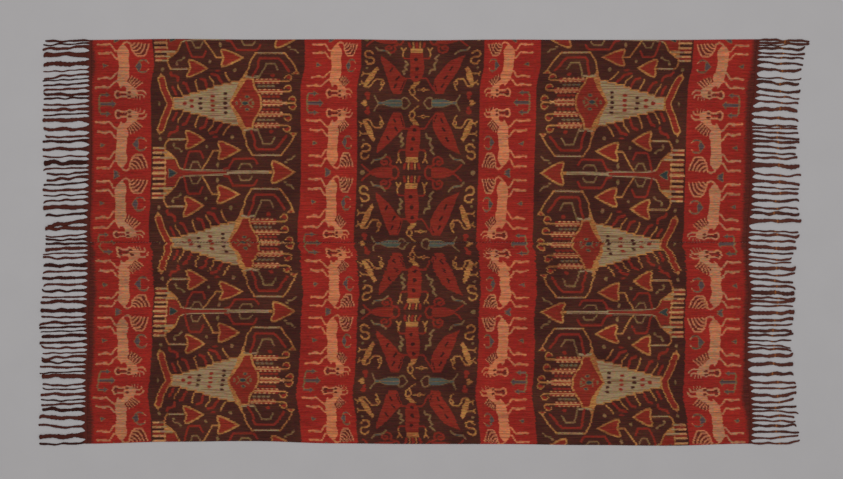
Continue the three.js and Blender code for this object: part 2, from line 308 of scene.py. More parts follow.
# A chart's line gives a dye, a form, a half width or growth, and points as "along,across" in ties.
# A "line" follows its points and a "fill" is bounded by them. A "dot" is a centre and two radii, and a
# "heart" is the middle of its back, then the place of its tip and its half width. An indented line goes
# on with the points.
TREE_CHART = """
gold line 3.7 247.6,-4 247.8,1.5 250.6,8 253.4,14.5 255.8,21.5 257.6,25.5
gold fill 0 262,25.5 258.6,31.5 254.2,25
red line 2.5 247.6,-4 247.8,1.5 250.6,8 253.4,14.5 255.8,21.5 257.2,25
salmon line .5 244,0 234.5,0
gold fill 0 189,-6 189,0 185,8 181.5,15 180.5,21.5 176.5,27 174,32 172.8,32 172,26 178,12 186,-6
gold fill 2 186.5,-6 186.5,0 181,8 176.5,15 173.2,22 172.5,24.5 166.5,24.5 165,18 163.2,14.5 160,10
    157.6,4.5 157.2,-6
red fill 0 186.5,-6 186.5,0 181,8 176.5,15 173.2,22 172.5,24.5 166.5,24.5 165,18 163.2,14.5 160,10
    157.6,4.5 157.2,-6
teal dot 0 172.5,0 3.8,2.3
teal dot 0 170.5,6.4 2.4,1.5
teal dot 0 181,1 1.2,1
teal dot 0 164.5,1 1.3,1
olive line .7 168.5,2 165,4.2
olive line .7 176.3,2 177.5,3.8
red dot 0 233,0 2.2,1.9
red dot 0 226,2.9 2.4,1.5
red dot 0 205,2.3 2.3,1.4
red dot 0 205,7 2.3,1.5
dark dot 0 217.5,0 2.3,1.5
dark dot 0 217,5 2.1,1.4
dark dot 0 192.5,0 2.1,1.6
dark dot 0 192,4.9 2,1.4
dark dot 0 192,9.6 2,1.4
gold line .7 235,9 237,13 239.5,16 240,19
red line 1.3 241,8 243,13 245,16.5
red line 1.3 228,12 230,16 232,20 235,21
red line 1.3 240.5,23 241,26.5 244,28.3 248,29 249.5,32
gold line .8 219,12 221,17 223,22 222.5,23.5
red line 1.3 210.5,16 212.5,21 213.5,23.5 218,25
gold line .7 204,18 205,22 208,25 210,27.5
red line 1.3 196,21 199,24 202,28.5 208,30
gold line .8 189,23 192.5,27 195,31.5
red dot 0 203,33.5 2.5,1
gold line .8 176,26 174.5,32 172.5,36 172,41 170,45.5 167.5,49 166,52.3
gold line .8 166,52.3 137,52.3 134,48 130,43 128.3,40.5 125,35 124,32.5
pale line .6 163,52.3 139,52.3
gold fill 0 129,29.8 120.5,30 124.5,34.5
red dot 0 124.8,31 1.7,1
red line 1.2 167,27.5 165,33 163.5,38 163.5,43 161.5,46.5 143.5,46.5 139.5,43 137,39 132,33
olive line .85 160.5,25.5 159,31 156.5,37 155.5,40.8 147,40.8 145.5,38 143.5,34.5
pale line .85 173.5,27.3 168,26.3 160.5,27.1
red dot 0 147,28.5 2.2,1.8
cream line .5 135.8,1.4 133.6,.2 131,1.4
olive line .8 131,56.8 126.5,56.2 125,54 123.5,52.7
olive dot 0 132.5,59.2 1.6,1.1
olive dot 0 186,34 1.8,2
olive dot 0 258.5,0 1,2.1
olive dot 0 258,35 1.6,1.8
olive dot 0 211.5,43 1.4,1.7
olive dot 0 200.5,61.5 1.5,2.8
olive line .7 244,40 244.5,42.5 243.5,44 240,44.5 238,46 237,48
olive dot 0 244.3,40.6 1.4,1.7
olive dot 0 237,47.3 1.4,1.3
"""

ARROW_CHART = """
gold fill 0 254.5,43.5 252.5,46 250,47 244,52.5 242.8,55 254.5,55.5
pale line .75 259.5,44.3 254.5,44.3
pale line .75 257,48.7 251.5,48.7
pale line .8 259.5,53.7 246,53.7
gold line .9 253.2,53.7 253.2,78
gold line .8 243,54.5 241,59.5 238.5,64.6 234,65.8
pale line .7 237,65 234,65.8 227,66.7 217,66.9 190,67.4
red fill 0 252.2,55.6 243.6,55.6 241.8,60 239.3,65 235,66.6 227,67.5 191.5,68.2 191.5,78 252.2,78
pale fill 0 191.5,67.8 149.5,67.8 149.5,77 191.5,77
gold fill 0 151,67.8 146,67.8 146,77 151,77
teal heart 0 250.3,69.6 240.4,5.2
gold heart 0 147.5,69.3 122.5,12
red heart -1.8 147.5,69.3 122.5,12
gold heart 0 233.5,36 212.5,10
red heart -1.75 233.5,36 212.5,10
gold line .8 231,35.5 250,35.5 252.5,39 253.5,43.5
pale line .6 248,35.5 234,35.5
gold heart 0 201,47 177,10
red heart -1.75 201,47 177,10
gold line .8 199,47.2 205,47.2 207,51 211,58 215.5,65 216.5,67
red line 1.05 234,65 233,61 231.5,55 229.5,49 228,47.7 218,47.7 216.5,51 215,54.5
olive line .75 228,65 226.5,61 225.5,58.3 220.5,58.3 218.5,62 217.5,64
red line 1.1 194,66 189.5,65 187,60 184.5,55.7 165,55.5 163,57 161,61
olive line .8 179.5,66.3 178,63 177,61 169,61 167,63 166.3,64.5
"""

HORSE_CHART = """
salmon fill 0 301.2,25 301.5,33 301.7,41 302.4,48 303,54 302,58.5 299.5,62.5 297,64.5 295,64 293.5,62
    291.3,58.5 291,54 292.3,48 291.4,41 291.2,35 289.9,32.5 290,28 291.5,25.5 288,23 285,20.5 281,17.5
    279.5,12 281,8 285,7 289,5.5 291,7 291.5,14 291,18 293,20.5 296,20.7 296.2,18.7 297.5,19 298.5,21
    299.5,23
salmon line .85 301,26.5 304,24.5 307.7,20 309.8,18.8 314,20 318.5,19.6 322.5,19.2
salmon dot 0 314,19.9 2.8,1.4
salmon dot 0 321.8,19.2 1.3,1.2
salmon line .85 301,35.3 303.5,34 306.5,29.5 308.3,28.3 313,29.6 317,28.9 320.5,28.3
salmon dot 0 313.3,29.5 2.8,1.4
salmon dot 0 320,28.3 1.3,1.2
salmon line .85 301,48.3 304.5,49 307.2,53.5 308.8,55.6 313,55 317,54.3 321,54.8
salmon dot 0 313,55 3,1.4
salmon dot 0 320.6,54.7 1.3,1.2
salmon line .85 300,57.2 304.5,57.5 307,62.5 308.8,65 313,64.4 317,64 321,64.4
salmon dot 0 313.5,64.3 3,1.4
salmon dot 0 320.6,64.3 1.3,1.2
salmon line 1.1 290,7.8 293,8.7 296.5,8.6 299,7.2 300.8,6.6 302.2,8.7 302.6,11.2 302,14.2 300.3,15.6
    298.3,14.2 294,14 290,13.9
dark dot 0 299.6,8.9 1.7,1.3
dark dot 0 300.3,11.3 1.5,1.7
dark dot 0 299.6,13.5 1.7,1.3
dark dot 0 288.6,8.8 2,1.5
dark dot 0 288.4,13.6 2,1.5
dark line .55 298.5,11.3 296.8,9.9 295.6,12.6 294.4,9.9 293.2,12.6 292,10 291,11.3
salmon line .8 280,10.5 276,11 274,9.5 273.5,7
salmon line .8 282,15.5 275,16 272.5,14 271.5,11.5
salmon line .5 283,8.5 284,4.5
salmon line .5 280.5,8.5 281,4.5
salmon line .5 278,8.5 277.5,4.5
dark line .5 281.8,8 282.1,5.3
dark line .5 279.2,8 279.5,5.3
dark fill 0 282,18 276,24.5 281,28 288,31 291.5,26 288,23 285,20.5
cream line .6 282.5,18.5 276,24
cream line .6 284.3,20.3 278.5,25.8
cream line .6 286,22 281.3,27.7
cream line .6 287.7,23.7 284,29.3
cream line .6 289.3,25.3 287.2,30.8
salmon line .85 297,63.5 295,66 292,67.4 289.5,65.7
dark fill 0 289,66 288,59 285,53.5 283,51.6 276.5,51.6 275,53.5 272,60 270.7,65
cream line .75 289,66 288,59 285,53.5 283,51.8 276.5,51.8 275,53.5 272,60 270.7,64.7
cream line .75 286,54.4 280,54.6 276.5,59 274.3,65
cream line .75 287.5,57.6 283,57.8 279.5,61 277.5,65.4
cream line .75 288.3,60.8 285.5,60.8 282.5,63.2 280.5,66
cream line .75 288.5,63.8 286.5,63.8 284.5,66
teal line .9 282,36.8 280,35.3 277,34.8 274.2,35.8
teal line .9 282,45.3 280,47 277,47.6 274.2,46.5
teal fill 0 286,41 282.3,36.4 280,37.3 279.2,41 280,44.8 282.3,45.6
salmon line .55 274.2,35.8 272,38.1
salmon line .55 274.2,46.5 272.2,44.2
teal fill 0 318,39.3 312.3,41.8 318,44.5
teal line 1.9 318,0 305,0
teal fill 0 306.3,-4.6 306.3,4.6 301.6,0
olive line .9 318.6,0 318.6,7.5 317.3,10
teal line 1.3 316.8,10.8 310,10.8
teal fill 0 312,7.2 312,14.4 307,10.8
teal heart 0 305,70.1 298,3.7
"""
# The inner bands are narrower, so their horses are charted on the outer ones' ties: (inner tie, outer tie).
INNER_BAND_TIES = ((61, 267), (66, 271.5), (80, 291), (90.5, 302), (109, 321.5), (117, 326.6))
# The inner bands' forks sit further out by this, from the first tie along the warp to the last tie across.
FORK_OUT, FORK_FROM, FORK_TO = 4.2, 86, 13
# Horses sit nearer to the tree than to the arrow: in the inner bands, and above and below a tree in the
# outer ones.
HORSE_SHIFT_INNER, HORSE_SHIFT_ABOVE, HORSE_SHIFT_BELOW = 1.9, 2.6, 1.2

FIELD_CHART = """
gold line .7 38.5,12.8 36.8,14.5 35.8,18
gold line .75 35.8,18 34.5,20.5 36,22.8 38,21.5 37.8,18.8 35.8,18
gold line .75 36,23 37.5,24.6 43,24.8 45.5,22 47.5,18 49.5,16.5 53,16.7 54.5,19
gold fill 0 55,17 51.5,17.5 49,22 46.5,25 45,30 44.5,33 42.5,35.5 45,39 47.5,35.5 50.5,31 53,25 54,21
gold line .65 53.5,20.5 56.5,20.5 59,18.5
gold line .65 56.5,20.5 57.5,23
gold line .65 50,30.8 57,30.5 58.5,32.5
gold line .65 57,30.5 58.5,28.3
gold line .9 56.5,44.3 55,43 54.5,41.3 51,41 48,43 48.3,46.5 51,48.2 55.5,48.5 57.3,51 56.8,54.3 54,56
    50.5,54.5 49.3,52.5
teal line 1 44,56.8 38,56 35.5,55.3
olive line .9 46.5,60 44,56.8
olive line .9 36,55.3 34,54 32,51.5
red dot 0 50.5,9 2.9,2.4
red dot 0 50,5.3 1.7,1.9
gold dot 0 52.8,1.5 2,1.6
gold fill 0 52.6,3 57.6,0 52.6,-3
olive dot 0 55,37 1.4,1.2
olive dot 0 55.5,69.3 2.4,2.5
"""
TEAL_FISH_CHART = """
teal fill 0 39.8,-1.7 39.8,1.7 37,1.6 34.5,1.3 29.5,3.2 26,4.1 15,4.1 14.3,2 14.3,-2 15,-4.1 26,-4.1
    29.5,-3.2 34.5,-1.3 37,-1.6
olive line .2 14.5,.2 35,.2
olive line .75 15.4,3.2 14.4,4.9 12.4,5.8 10,4.7 8.2,2.4 6.8,0
olive line .75 38.5,1.2 40,3 41.5,5.5 42.5,7.7
"""
BIRD_CHART = """
red fill 0 1.5,21.8 3.6,23 5.4,25.5 6.6,30 7,37 6.8,46 6.2,53.8 -8,53.8 -8,21.8
red line .8 3,25.7 10,25.7 12,23.5 15.5,17.8 20.5,11.5
gold fill 0 5.8,53.8 6.4,59 -8,59 -8,53.8
red line 1.6 0,60.8 0,65
gold line .75 3.2,59.7 3.4,65.8
red line 1.3 6.6,60.8 7.7,65.2
red line .8 7,47 12,47 13.2,48.6
gold line .8 13.3,48.8 13.8,52 12.9,56
gold line .75 13,55.5 10.9,59.3
gold line .75 13,55.5 15.4,59.5
red fill 0 43,68 36,65 30,63.8 22,64 19.5,66 19.5,72.6 22,74.6 30,74.8 36,73.6 43,70.6
red line 1 20,64.8 16.5,63 13.7,66 13,70
red line .9 42,68.5 46,65.5 50,61.5
red line 1 19,63 22.3,61.5 21,58.5 22.5,54.8 26,53.5 30,55.5 31,59.5 28,61.7 25,60.5 25.5,58 28,58
"""
# The heads and wings of the birds are not mirrored, so this chart counts from the middle to both sides.
BIRD_HEAD_CHART = """
red fill 0 -24.8,9.3 -17,9.3 -14.7,16 -12.7,25 -18,28.5 -27.5,38.5 -35,45.5 -41.5,50.5 -41.2,45 -37.2,35
    -32,25 -28.3,16
red fill 0 16.8,9.3 25,9.3 28.3,17 33,26 36.5,35 40,45.5 43,51 38,49 28,44.5 22,38.5 18,31.5 14.6,24.5
    14.8,17
dark line 1 -24,16 -22.5,19
dark line 1 -23,24.5 -21,27.5
dark line 1 -31,33.5 -29.5,36.5
dark line 1 23,16 24.5,19.3
dark line 1 24.3,25 26.5,28
dark line 1 28,34.5 29.8,38
dark line .7 -17.5,13 -15.5,19 -14.5,23
dark line .7 18.2,12.5 16,18.5
gold fill 0 -5,22.3 1.3,22.3 -1,18.5 -3.5,16 -7.5,15.5 -8.3,17.3 -5.5,19.5
gold line .75 -7,15.7 -8.8,13 -7.8,10 -5.8,7.9 -3.6,9.2 -3.2,12.5 -5,15.6 -7,15.7
gold line .6 -5.3,7.8 -3,5.2 -.5,3.2 .5,2.7
gold line .55 -.3,13.5 3,13.5 5.3,12 7.5,13.5 11,13.5
gold line .55 3,13.5 5.3,15.3 7.5,13.5
dark dot 0 -3.6,27 1.9,1.8
dark dot 0 -4.9,36 2,2.1
dark dot 0 -6.3,46 2,1.9
olive line 1 -16.2,30.2 -18.4,33.4 -14.8,35.2 -17.5,38.4 -14.4,41 -17,44
olive line 1 8.1,30.9 8.7,34.6 13.1,35.2 11.5,40.2 14.7,44.6 12.5,47 16.2,51
"""
# A bird's body and tail are mirrored about a line that leans: (place across, middle of the bird there).
BIRD_LEAN = ((24, -3.6), (50, -5.9))
# The blue grey fish are mirrored about a line a little left of the middle.
FISH_AXIS = -1.2


def linear(hex_colour):
    """Linear RGB of an sRGB hex colour."""
    srgb = np.array([int(hex_colour[i : i + 2], 16) for i in (1, 3, 5)]) / 255
    return tuple(np.where(srgb <= 0.04045, srgb / 12.92, ((srgb + 0.055) / 1.055) ** 2.4))


def scatter(n):
    """A repeatable scatter between 0 and 1 for whole numbers: the fraction of a large sine."""
    wave = np.sin(np.asarray(n, float) * 12.9898) * 43758.5453
    return wave - np.floor(wave)


def smooth_step(t):
    """An ease from 0 to 1 with level ends."""
    t = np.clip(t, 0.0, 1.0)
    return t * t * (3 - 2 * t)


def read_rows(keys, values, t):
    """A table's value at t, eased by a smooth step between its rows."""
    keys, values = np.array(keys, float), np.array(values, float)
    t = np.clip(t, 0.0, 1.0)
    k = np.clip(np.searchsorted(keys, t), 1, len(keys) - 1)
    share = smooth_step((t - keys[k - 1]) / (keys[k] - keys[k - 1]))
    return values[k - 1] + (values[k] - values[k - 1]) * share


def colour_property(name, description, hex_colour):
    """A colour property with its default given as an sRGB hex value."""
    return bpy.props.FloatVectorProperty(
        name=name,
        description=description,
        subtype="COLOR",
        size=3,
        min=0.0,
        max=1.0,
        default=linear(hex_colour),
    )


def length_property(name, description, default):
    """A length property in metres."""
    return bpy.props.FloatProperty(name=name, description=description, default=default, unit="LENGTH")


class ClothSizes(bpy.types.PropertyGroup):
    """Sizes of the woven cloth and its fringe."""

    width: length_property("Cloth width", "Across both panels, selvedge to selvedge", 1.22)
    overall: length_property("Overall length", "From fringe tip to fringe tip", 2.316)
    woven: length_property("Woven length", "Along the warp, without the fringes", 1.984)
    middle: length_property("Woven middle", "Middle of the woven length along the warp", -0.014)
    thickness: length_property("Thickness", "Thickness of the weave", 0.0015)
    clearance: length_property("Seam clearance", "Gap between the panels' edges", 0.0003)
    strip: length_property("End strip", "Last rows of weave that hold the strands", 0.006)
    tie: length_property("Tie", "Width of one tied bundle of warp in the charts", 0.003)
    fullness: bpy.props.FloatProperty(
        name="Fullness", description="How much loose fibres fill out a strand's charted width", default=1.3
    )
    rows: bpy.props.IntProperty(name="Rows", description="Warp bundles across a panel", default=192, min=24)
    columns: bpy.props.IntProperty(name="Columns", description="Steps along the warp", default=505, min=60)


class DyeColours(bpy.types.PropertyGroup):
    """Colours of the dyed yarn, each with a second lot that shows in streaks."""

    brown: colour_property("Brown ground", "Mud and root dyed field", "#4a271d")
    brown_lot: colour_property("Brown ground, second lot", "Deeper bundles of the field", "#351a16")
    band: colour_property("Band red", "Red ground of the horse bands", "#8d251d")
    band_lot: colour_property("Band red, second lot", "Deeper bundles of the bands", "#78201a")
    gold: colour_property("Gold", "Outlines of the motifs", "#9c6a3a")
    gold_lot: colour_property("Gold, second lot", "Outlines that took some red", "#7c4828")
    pale: colour_property("Pale", "Undyed yarn, yellowed with age", "#977f5f")
    pale_lot: colour_property("Pale, second lot", "Undyed yarn that took some dye", "#604631")
    salmon: colour_property("Salmon", "Horses, lightly dyed", "#b26642")
    salmon_lot: colour_property("Salmon, second lot", "Horses, greyer bundles", "#8f6a50")
    red: colour_property("Motif red", "Filled hearts, birds and lines", "#7c291d")
    red_lot: colour_property("Motif red, second lot", "Deeper bundles of the motifs", "#68221a")
    teal: colour_property("Blue grey", "Faded indigo marks", "#494d45")
    teal_lot: colour_property("Blue grey, second lot", "Stronger indigo", "#40443f")
    teal_over_band: colour_property("Purple grey", "Indigo marks in the red bands", "#4b3b3b")
    teal_over_red: colour_property("Deep indigo", "Indigo marks in the red motifs", "#2e3433")
    olive: colour_property("Olive", "Indigo over yellow", "#765839")
    olive_lot: colour_property("Olive, second lot", "Duller olive", "#62482f")
    dark: colour_property("Dark", "Indigo over red", "#3d1e19")
    dark_lot: colour_property("Dark, second lot", "Deepest lines", "#331714")
    dark_over_band: colour_property("Deep red", "Dark lines in the red bands", "#58221b")
    cream: colour_property("Cream", "Light lines laid over dark ones", "#ae7d52")
    cream_lot: colour_property("Cream, second lot", "Light lines with some red", "#946340")
    cream_over_band: colour_property("Light salmon", "Light lines in the red bands", "#a96847")
    ends: colour_property("Woven ends", "Last rows of weave, between band red and fringe", "#4b201a")
    fringe: colour_property("Fringe", "Twisted warp ends", "#462019")
    fringe_lot: colour_property("Fringe, second lot", "Deeper strands", "#2e1410")
    fringe_faded: colour_property("Fringe, faded", "Dust and wear on the right fringe", "#5b3a33")
    fleck: colour_property("Fringe fleck", "Warp that was bound off in the right fringe", "#9a5c2c")


class StageSettings(bpy.types.PropertyGroup):
    """Floor, light and camera."""

    floor: colour_property("Floor", "Plain matt floor", "#a3a1a2")
    floor_size: length_property("Floor size", "Side of the floor", 14.0)
    pixel: length_property("Pixel", "Width of a picture element on the floor", 0.003)
    lens: bpy.props.FloatProperty(name="Lens", description="Focal length in millimetres", default=100.0)
    ambient: bpy.props.FloatProperty(name="Ambient", description="Even light from all around", default=0.72)
    lamp: bpy.props.FloatProperty(name="Lamp", description="Power of the soft lamp in watts", default=52.0)


def sizes():
    """The sizes that this scene holds."""
    return bpy.context.scene.ikat_sizes


def dyes():
    """The colours that this scene holds."""
    return bpy.context.scene.ikat_dyes


def across_at(panel, y):
    """Share of the way down a panel at y, in mm."""
    s = sizes()
    top = s.width / MM / 2 if panel == "upper" else -s.clearance / MM / 2
    return (top - y) / ((s.width - s.clearance) / MM / 2)


def along_at(x):
    """Share of the way along the woven length at x, in mm."""
    return (x - weave_end("left")) / (sizes().woven / MM)


def weave_end(side):
    """Mean place of one end of the weave along the warp, in mm."""
    s = sizes()
    return (s.middle + OUTWARD[side] * s.woven / 2) / MM


def end_x(panel, side, y):
    """Line where the weave stops and the strands begin, in mm."""
    return weave_end(side) + read_rows(ACROSS[panel], END_LINES[panel][side], across_at(panel, y))


def selvedge_y(panel, x):
    """Outer selvedge of a panel at x, in mm."""
    drawn_in = read_rows(ALONG, SELVEDGES[panel], along_at(x))
    return FROM_SEAM[panel] * (sizes().width / MM / 2 - drawn_in)


def seam_y(panel):
    """Straight edge of a panel along the seam, in mm."""
    return FROM_SEAM[panel] * sizes().clearance / MM / 2


def heart(back, tip):
    """Outline of a heart on its side: two round lobes at the back and straight cheeks to the tip."""
    lobe = [(0.1, 0.0), (0.04, 0.4), (0.0, 0.75), (0.05, 1.0)]
    cheek = [(0.22, 0.95), (0.5, 0.67), (0.78, 0.31), (1.0, 0.0)]
    shape = np.array(lobe + cheek)
    around = np.vstack([shape, shape[-2:0:-1] * (1, -1)])
    return back + around * (tip[0] - back[0], tip[1])


def chart_marks(text):
    """Marks of a written chart, each a dye, a form, a half width and its points."""
    marks = []
    for line in text.strip("\n").splitlines():
        words = line.split()
        if not line.startswith(" "):
            marks.append((words[0], words[1], float(words[2]), []))
            words = words[3:]
        marks[-1][3].extend([float(number) for number in word.split(",")] for word in words)
    return marks


def trunk_outline(inset):
    """Stepped outline of the trunk, drawn in by an inset and ended on the lozenge's slant."""
    points = [(TRUNK_STEPS[0][0] - inset, -8.0)]
    for (start, half), (end, _) in zip(TRUNK_STEPS, TRUNK_STEPS[1:]):
        points += [(start - inset, half - inset), (end - inset, half - inset)]
    last_start, last_half = TRUNK_STEPS[-1]
    points.append((last_start - inset, last_half - inset))
    return points + [(u, v - inset if v > 15 else v) for u, v in TRUNK_END]


def trunk_marks():
    """The trunk, its gold rim, and a dark line under each step."""
    marks = [("gold", "fill", 0.0, trunk_outline(0.0)), ("pale", "fill", 0.0, trunk_outline(TRUNK_RIM))]
    for (start, half), (end, _) in zip(TRUNK_STEPS, TRUNK_STEPS[1:]):
        marks.append(("dark", "line", 0.5, ((start - 1, half + 1.1), (end + 2, half + 1.1))))
    return marks


def braid_marks():
    """Braided pendants under the lozenge: a red cord with light blocks on both sides, ending in a curl."""
    marks = []
    for middle, start, end, tip, half, line, block in BRAIDS:
        low, high = middle - half, middle + half
        marks.append(("red", "fill", 0.0, ((start, low), (start, high), (end, high), (end, low))))
        marks.append(("cream", "line", 0.6, ((start - 0.5, middle + line), (end, middle + line))))
        for k, u in enumerate(np.arange(start - 2.0, end + 1.0, -BRAID_PITCH / 2)):
            marks.append(("cream", "dot", 0.0, ((u, middle + (block, -block)[k % 2]), (1.2, 0.7))))
        curl = np.array(BRAID_CURL) + (tip, middle)
        marks.append(("gold", "line", 0.75, curl))
        marks.append(("red", "fill", -0.4, curl[2:]))
    for dye, start, end, across, radii in BRAID_DOTS:
        marks += [(dye, "dot", 0.0, ((u, across), radii)) for u in np.arange(start, end, -BRAID_PITCH)]
    return marks


def comb_marks():
    """The comb at the arrow's tail: light teeth with round inner ends, and red and dark warp between them."""
    back, front, gap_half = 264.6, 253, 1.15
    marks = [("gold", "line", half, ((back, v), (front, v))) for v, _, half in COMB_TEETH]
    marks += [("cream", "line", half, ((back, v), (inner, v))) for v, inner, half in COMB_TEETH]
    marks += [("gold", "dot", 0.0, ((front - 0.6, v), (1.6, 1.5))) for v, _, _ in COMB_TEETH[3:]]
    gaps = [(a[0] + b[0]) / 2 for a, b in zip(COMB_TEETH, COMB_TEETH[1:])]
    between = zip(("red", "dark", "red", "dark", "red"), gaps)
    return marks + [(dye, "line", gap_half, ((back + 0.1, v), (front + 1.7, v))) for dye, v in between]


def line_distance(points, path):
    """Distance from each point to a path of straight pieces."""
    a, b = path[:-1], path[1:]
    d = b - a
    t = np.clip(((points[:, None] - a) * d).sum(-1) / (d * d).sum(-1), 0, 1)
    return np.sqrt(((points[:, None] - a - t[..., None] * d) ** 2).sum(-1)).min(1)


def fill_distance(points, corners):
    """Signed distance to a closed outline, negative inside, where a ray crosses it an odd number of times."""
    ring = np.vstack([corners, corners[:1]])
    a, b = ring[:-1], ring[1:]
    x, y = points[:, :1], points[:, 1:]
    rise = np.where(b[:, 1] == a[:, 1], 1e-9, b[:, 1] - a[:, 1])
    crossing = (b[:, 0] - a[:, 0]) * (y - a[:, 1]) / rise + a[:, 0]
    hits = ((a[:, 1] > y) != (b[:, 1] > y)) & (x < crossing)
    return line_distance(points, ring) * np.where(hits.sum(1) % 2, -1.0, 1.0)


def dot_distance(points, dot):
    """Signed distance to an oval of two radii, close to its rim."""
    centre, radii = dot
    return (np.linalg.norm((points - centre) / radii, axis=1) - 1) * radii.min()


def lay_chart(cloth, along, across, marks):
    """Lays marks onto the dyed bundles: each dye keeps the least signed distance to its marks, in ties."""
    for dye, form, half, points in marks:
        points = np.array(points, float)
        outline = heart(*points) if form == "heart" else points
        low, high = outline.min(0), outline.max(0)
        if form == "dot":
            low, high = points[0] - points[1], points[0] + points[1]
        reach = FAR + max(half, 0.0)
        near = (along > low[0] - reach) & (along < high[0] + reach)
        near &= (across > low[1] - reach) & (across < high[1] + reach)
        if not near.any():
            continue
        places = np.column_stack([along[near], across[near]])
        if form == "line":
            distance = line_distance(places, outline) - half
        elif form == "dot":
            distance = dot_distance(places, points)
        else:
            distance = fill_distance(places, outline) - half
        layer = cloth[..., DYES.index(dye)]
        layer[near] = np.minimum(layer[near], distance)


def slipped(table, panel, x, y):
    """A slip table's value at points of a panel, in mm, eased across the warp and straight along it."""
    across, along = across_at(panel, y), np.clip(along_at(x), 0, 1) * (len(table[panel]) - 1)
    total = 0.0
    for k, column in enumerate(table[panel]):
        total = total + read_rows(ACROSS[panel], column, across) * np.clip(1 - np.abs(along - k), 0, 1)
    return total


def dyed_pattern(panel, x, y):
    """Signed distances of every dye at points of a panel, in ties.

    The pattern repeats across the warp by folding the distance from the seam at every half repeat, and
    along it by mirroring about the middle. Both slip a little, as bundles do on the loom. Horses sit
    nearer to the tree than to the arrow, in the outer bands by more above a tree than below it, and the
    inner bands' forks sit further out. The outer rim of the outer bands is drawn out softly."""
    s = sizes()
    tie = s.tie / MM
    bundle = np.arange(len(x))[:, None] + 331 * PANELS.index(panel)
    near, out = RAGGED[panel]
    reach = near + (out - near) * smooth_step(np.abs(y) / RAGGED_OUT)
    ragged = reach * (scatter(bundle) + scatter(bundle // 2 + 900) - 1)
    w = (x - PATTERN_MIDDLE - slipped(DRIFT, panel, x, y) - ragged) / tie
    d = np.abs(y + slipped(WANDER, panel, x, y)) / tie
    fold = (d + HALF_REPEAT) % (2 * HALF_REPEAT) - HALF_REPEAT
    u, v = np.abs(w), np.abs(fold)
    cloth = np.full(x.shape + (len(DYES),), FAR)
    for low, high in BANDS:
        rim = (u - high) * (BAND_RIM if (low, high) == BANDS[-1] else BAND_EDGE)
        cloth[..., 0] = np.minimum(cloth[..., 0], np.maximum(BAND_EDGE * (low - u), rim))
    inner, outer = np.array(INNER_BAND_TIES, float).T
    in_inner = u < BANDS[0][1]
    begun = smooth_step((u - FORK_FROM - 7 * smooth_step((v - 4) / 3)) / 8)
    fork = FORK_OUT * begun * (1 - smooth_step((v - FORK_TO) / 2.5))
    horse_u = np.where(in_inner, np.interp(u - fork, inner, outer), u)
    horse_u = np.where(u > BANDS[0][0], horse_u, 0.0)
    above = (fold > 0) == (panel == "upper")
    outer_shift = np.where(above, HORSE_SHIFT_ABOVE, HORSE_SHIFT_BELOW)
    horse_v = v + np.where(in_inner, HORSE_SHIFT_INNER, outer_shift) * smooth_step((v - 3) / 11)
    lay_chart(cloth, u, v, trunk_marks() + chart_marks(TREE_CHART) + braid_marks())
    lay_chart(cloth, u, v, comb_marks() + chart_marks(ARROW_CHART))
    lay_chart(cloth, horse_u, horse_v, chart_marks(HORSE_CHART))
    lay_chart(cloth, u, v, chart_marks(FIELD_CHART))
    lay_chart(cloth, np.abs(w - FISH_AXIS), v, chart_marks(TEAL_FISH_CHART))
    lay_chart(cloth, w, v, chart_marks(BIRD_HEAD_CHART))
    lay_chart(cloth, np.abs(w - np.interp(v, *zip(*BIRD_LEAN))), v, chart_marks(BIRD_CHART))
    return np.clip(cloth, -FAR, FAR)


def make_piece(name, points, faces, material, smooth=None):
    """An object from points in metres and arrays of faces, one array for each number of corners."""
    mesh = bpy.data.meshes.new(name)
    corners = np.concatenate([f.ravel() for f in faces]).astype(np.int32)
    counts = np.concatenate([np.full(len(f), f.shape[1]) for f in faces]).astype(np.int32)
    starts = np.concatenate([[0], np.cumsum(counts)[:-1]]).astype(np.int32)
    mesh.vertices.add(len(points))
    mesh.vertices.foreach_set("co", np.ascontiguousarray(points, np.float32).ravel())
    mesh.loops.add(len(corners))
    mesh.loops.foreach_set("vertex_index", corners)
    mesh.polygons.add(len(counts))
    mesh.polygons.foreach_set("loop_start", starts)
    mesh.update(calc_edges=True)
    mesh.validate()
    shade = np.ones(len(counts), bool) if smooth is None else smooth
    mesh.polygons.foreach_set("use_smooth", shade)
    mesh.materials.append(material)
    piece = bpy.data.objects.new(name, mesh)
    bpy.context.scene.collection.objects.link(piece)
    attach(piece, BODY)
    return piece


def set_corner_vectors(piece, name, values):
    """A vector attribute on face corners."""
    attribute = piece.data.attributes.new(name, "FLOAT_VECTOR", "CORNER")
    attribute.data.foreach_set("vector", np.ascontiguousarray(values, np.float32).ravel())


def set_map(piece, name, places):
    """A flat map on face corners."""
    layer = piece.data.uv_layers.new(name=name)
    layer.data.foreach_set("uv", np.ascontiguousarray(places, np.float32).ravel())


def sweep_faces(count, stations, sides, flip):
    """Faces of tubes: four-cornered ones between rings of points, and one cap at each end."""
    ring = np.arange(sides)
    following = (ring + 1) % sides
    k = np.arange(stations - 1)[:, None] * sides
    quads = np.stack([k + ring, k + following, k + sides + following, k + sides + ring], -1).reshape(-1, 4)
    caps = np.stack([ring[::-1], (stations - 1) * sides + ring])
    offsets = np.arange(count)[:, None, None] * stations * sides
    quads, caps = (quads + offsets).reshape(-1, 4), (caps + offsets).reshape(-1, sides)
    return (quads[:, ::-1], caps[:, ::-1]) if flip else (quads, caps)


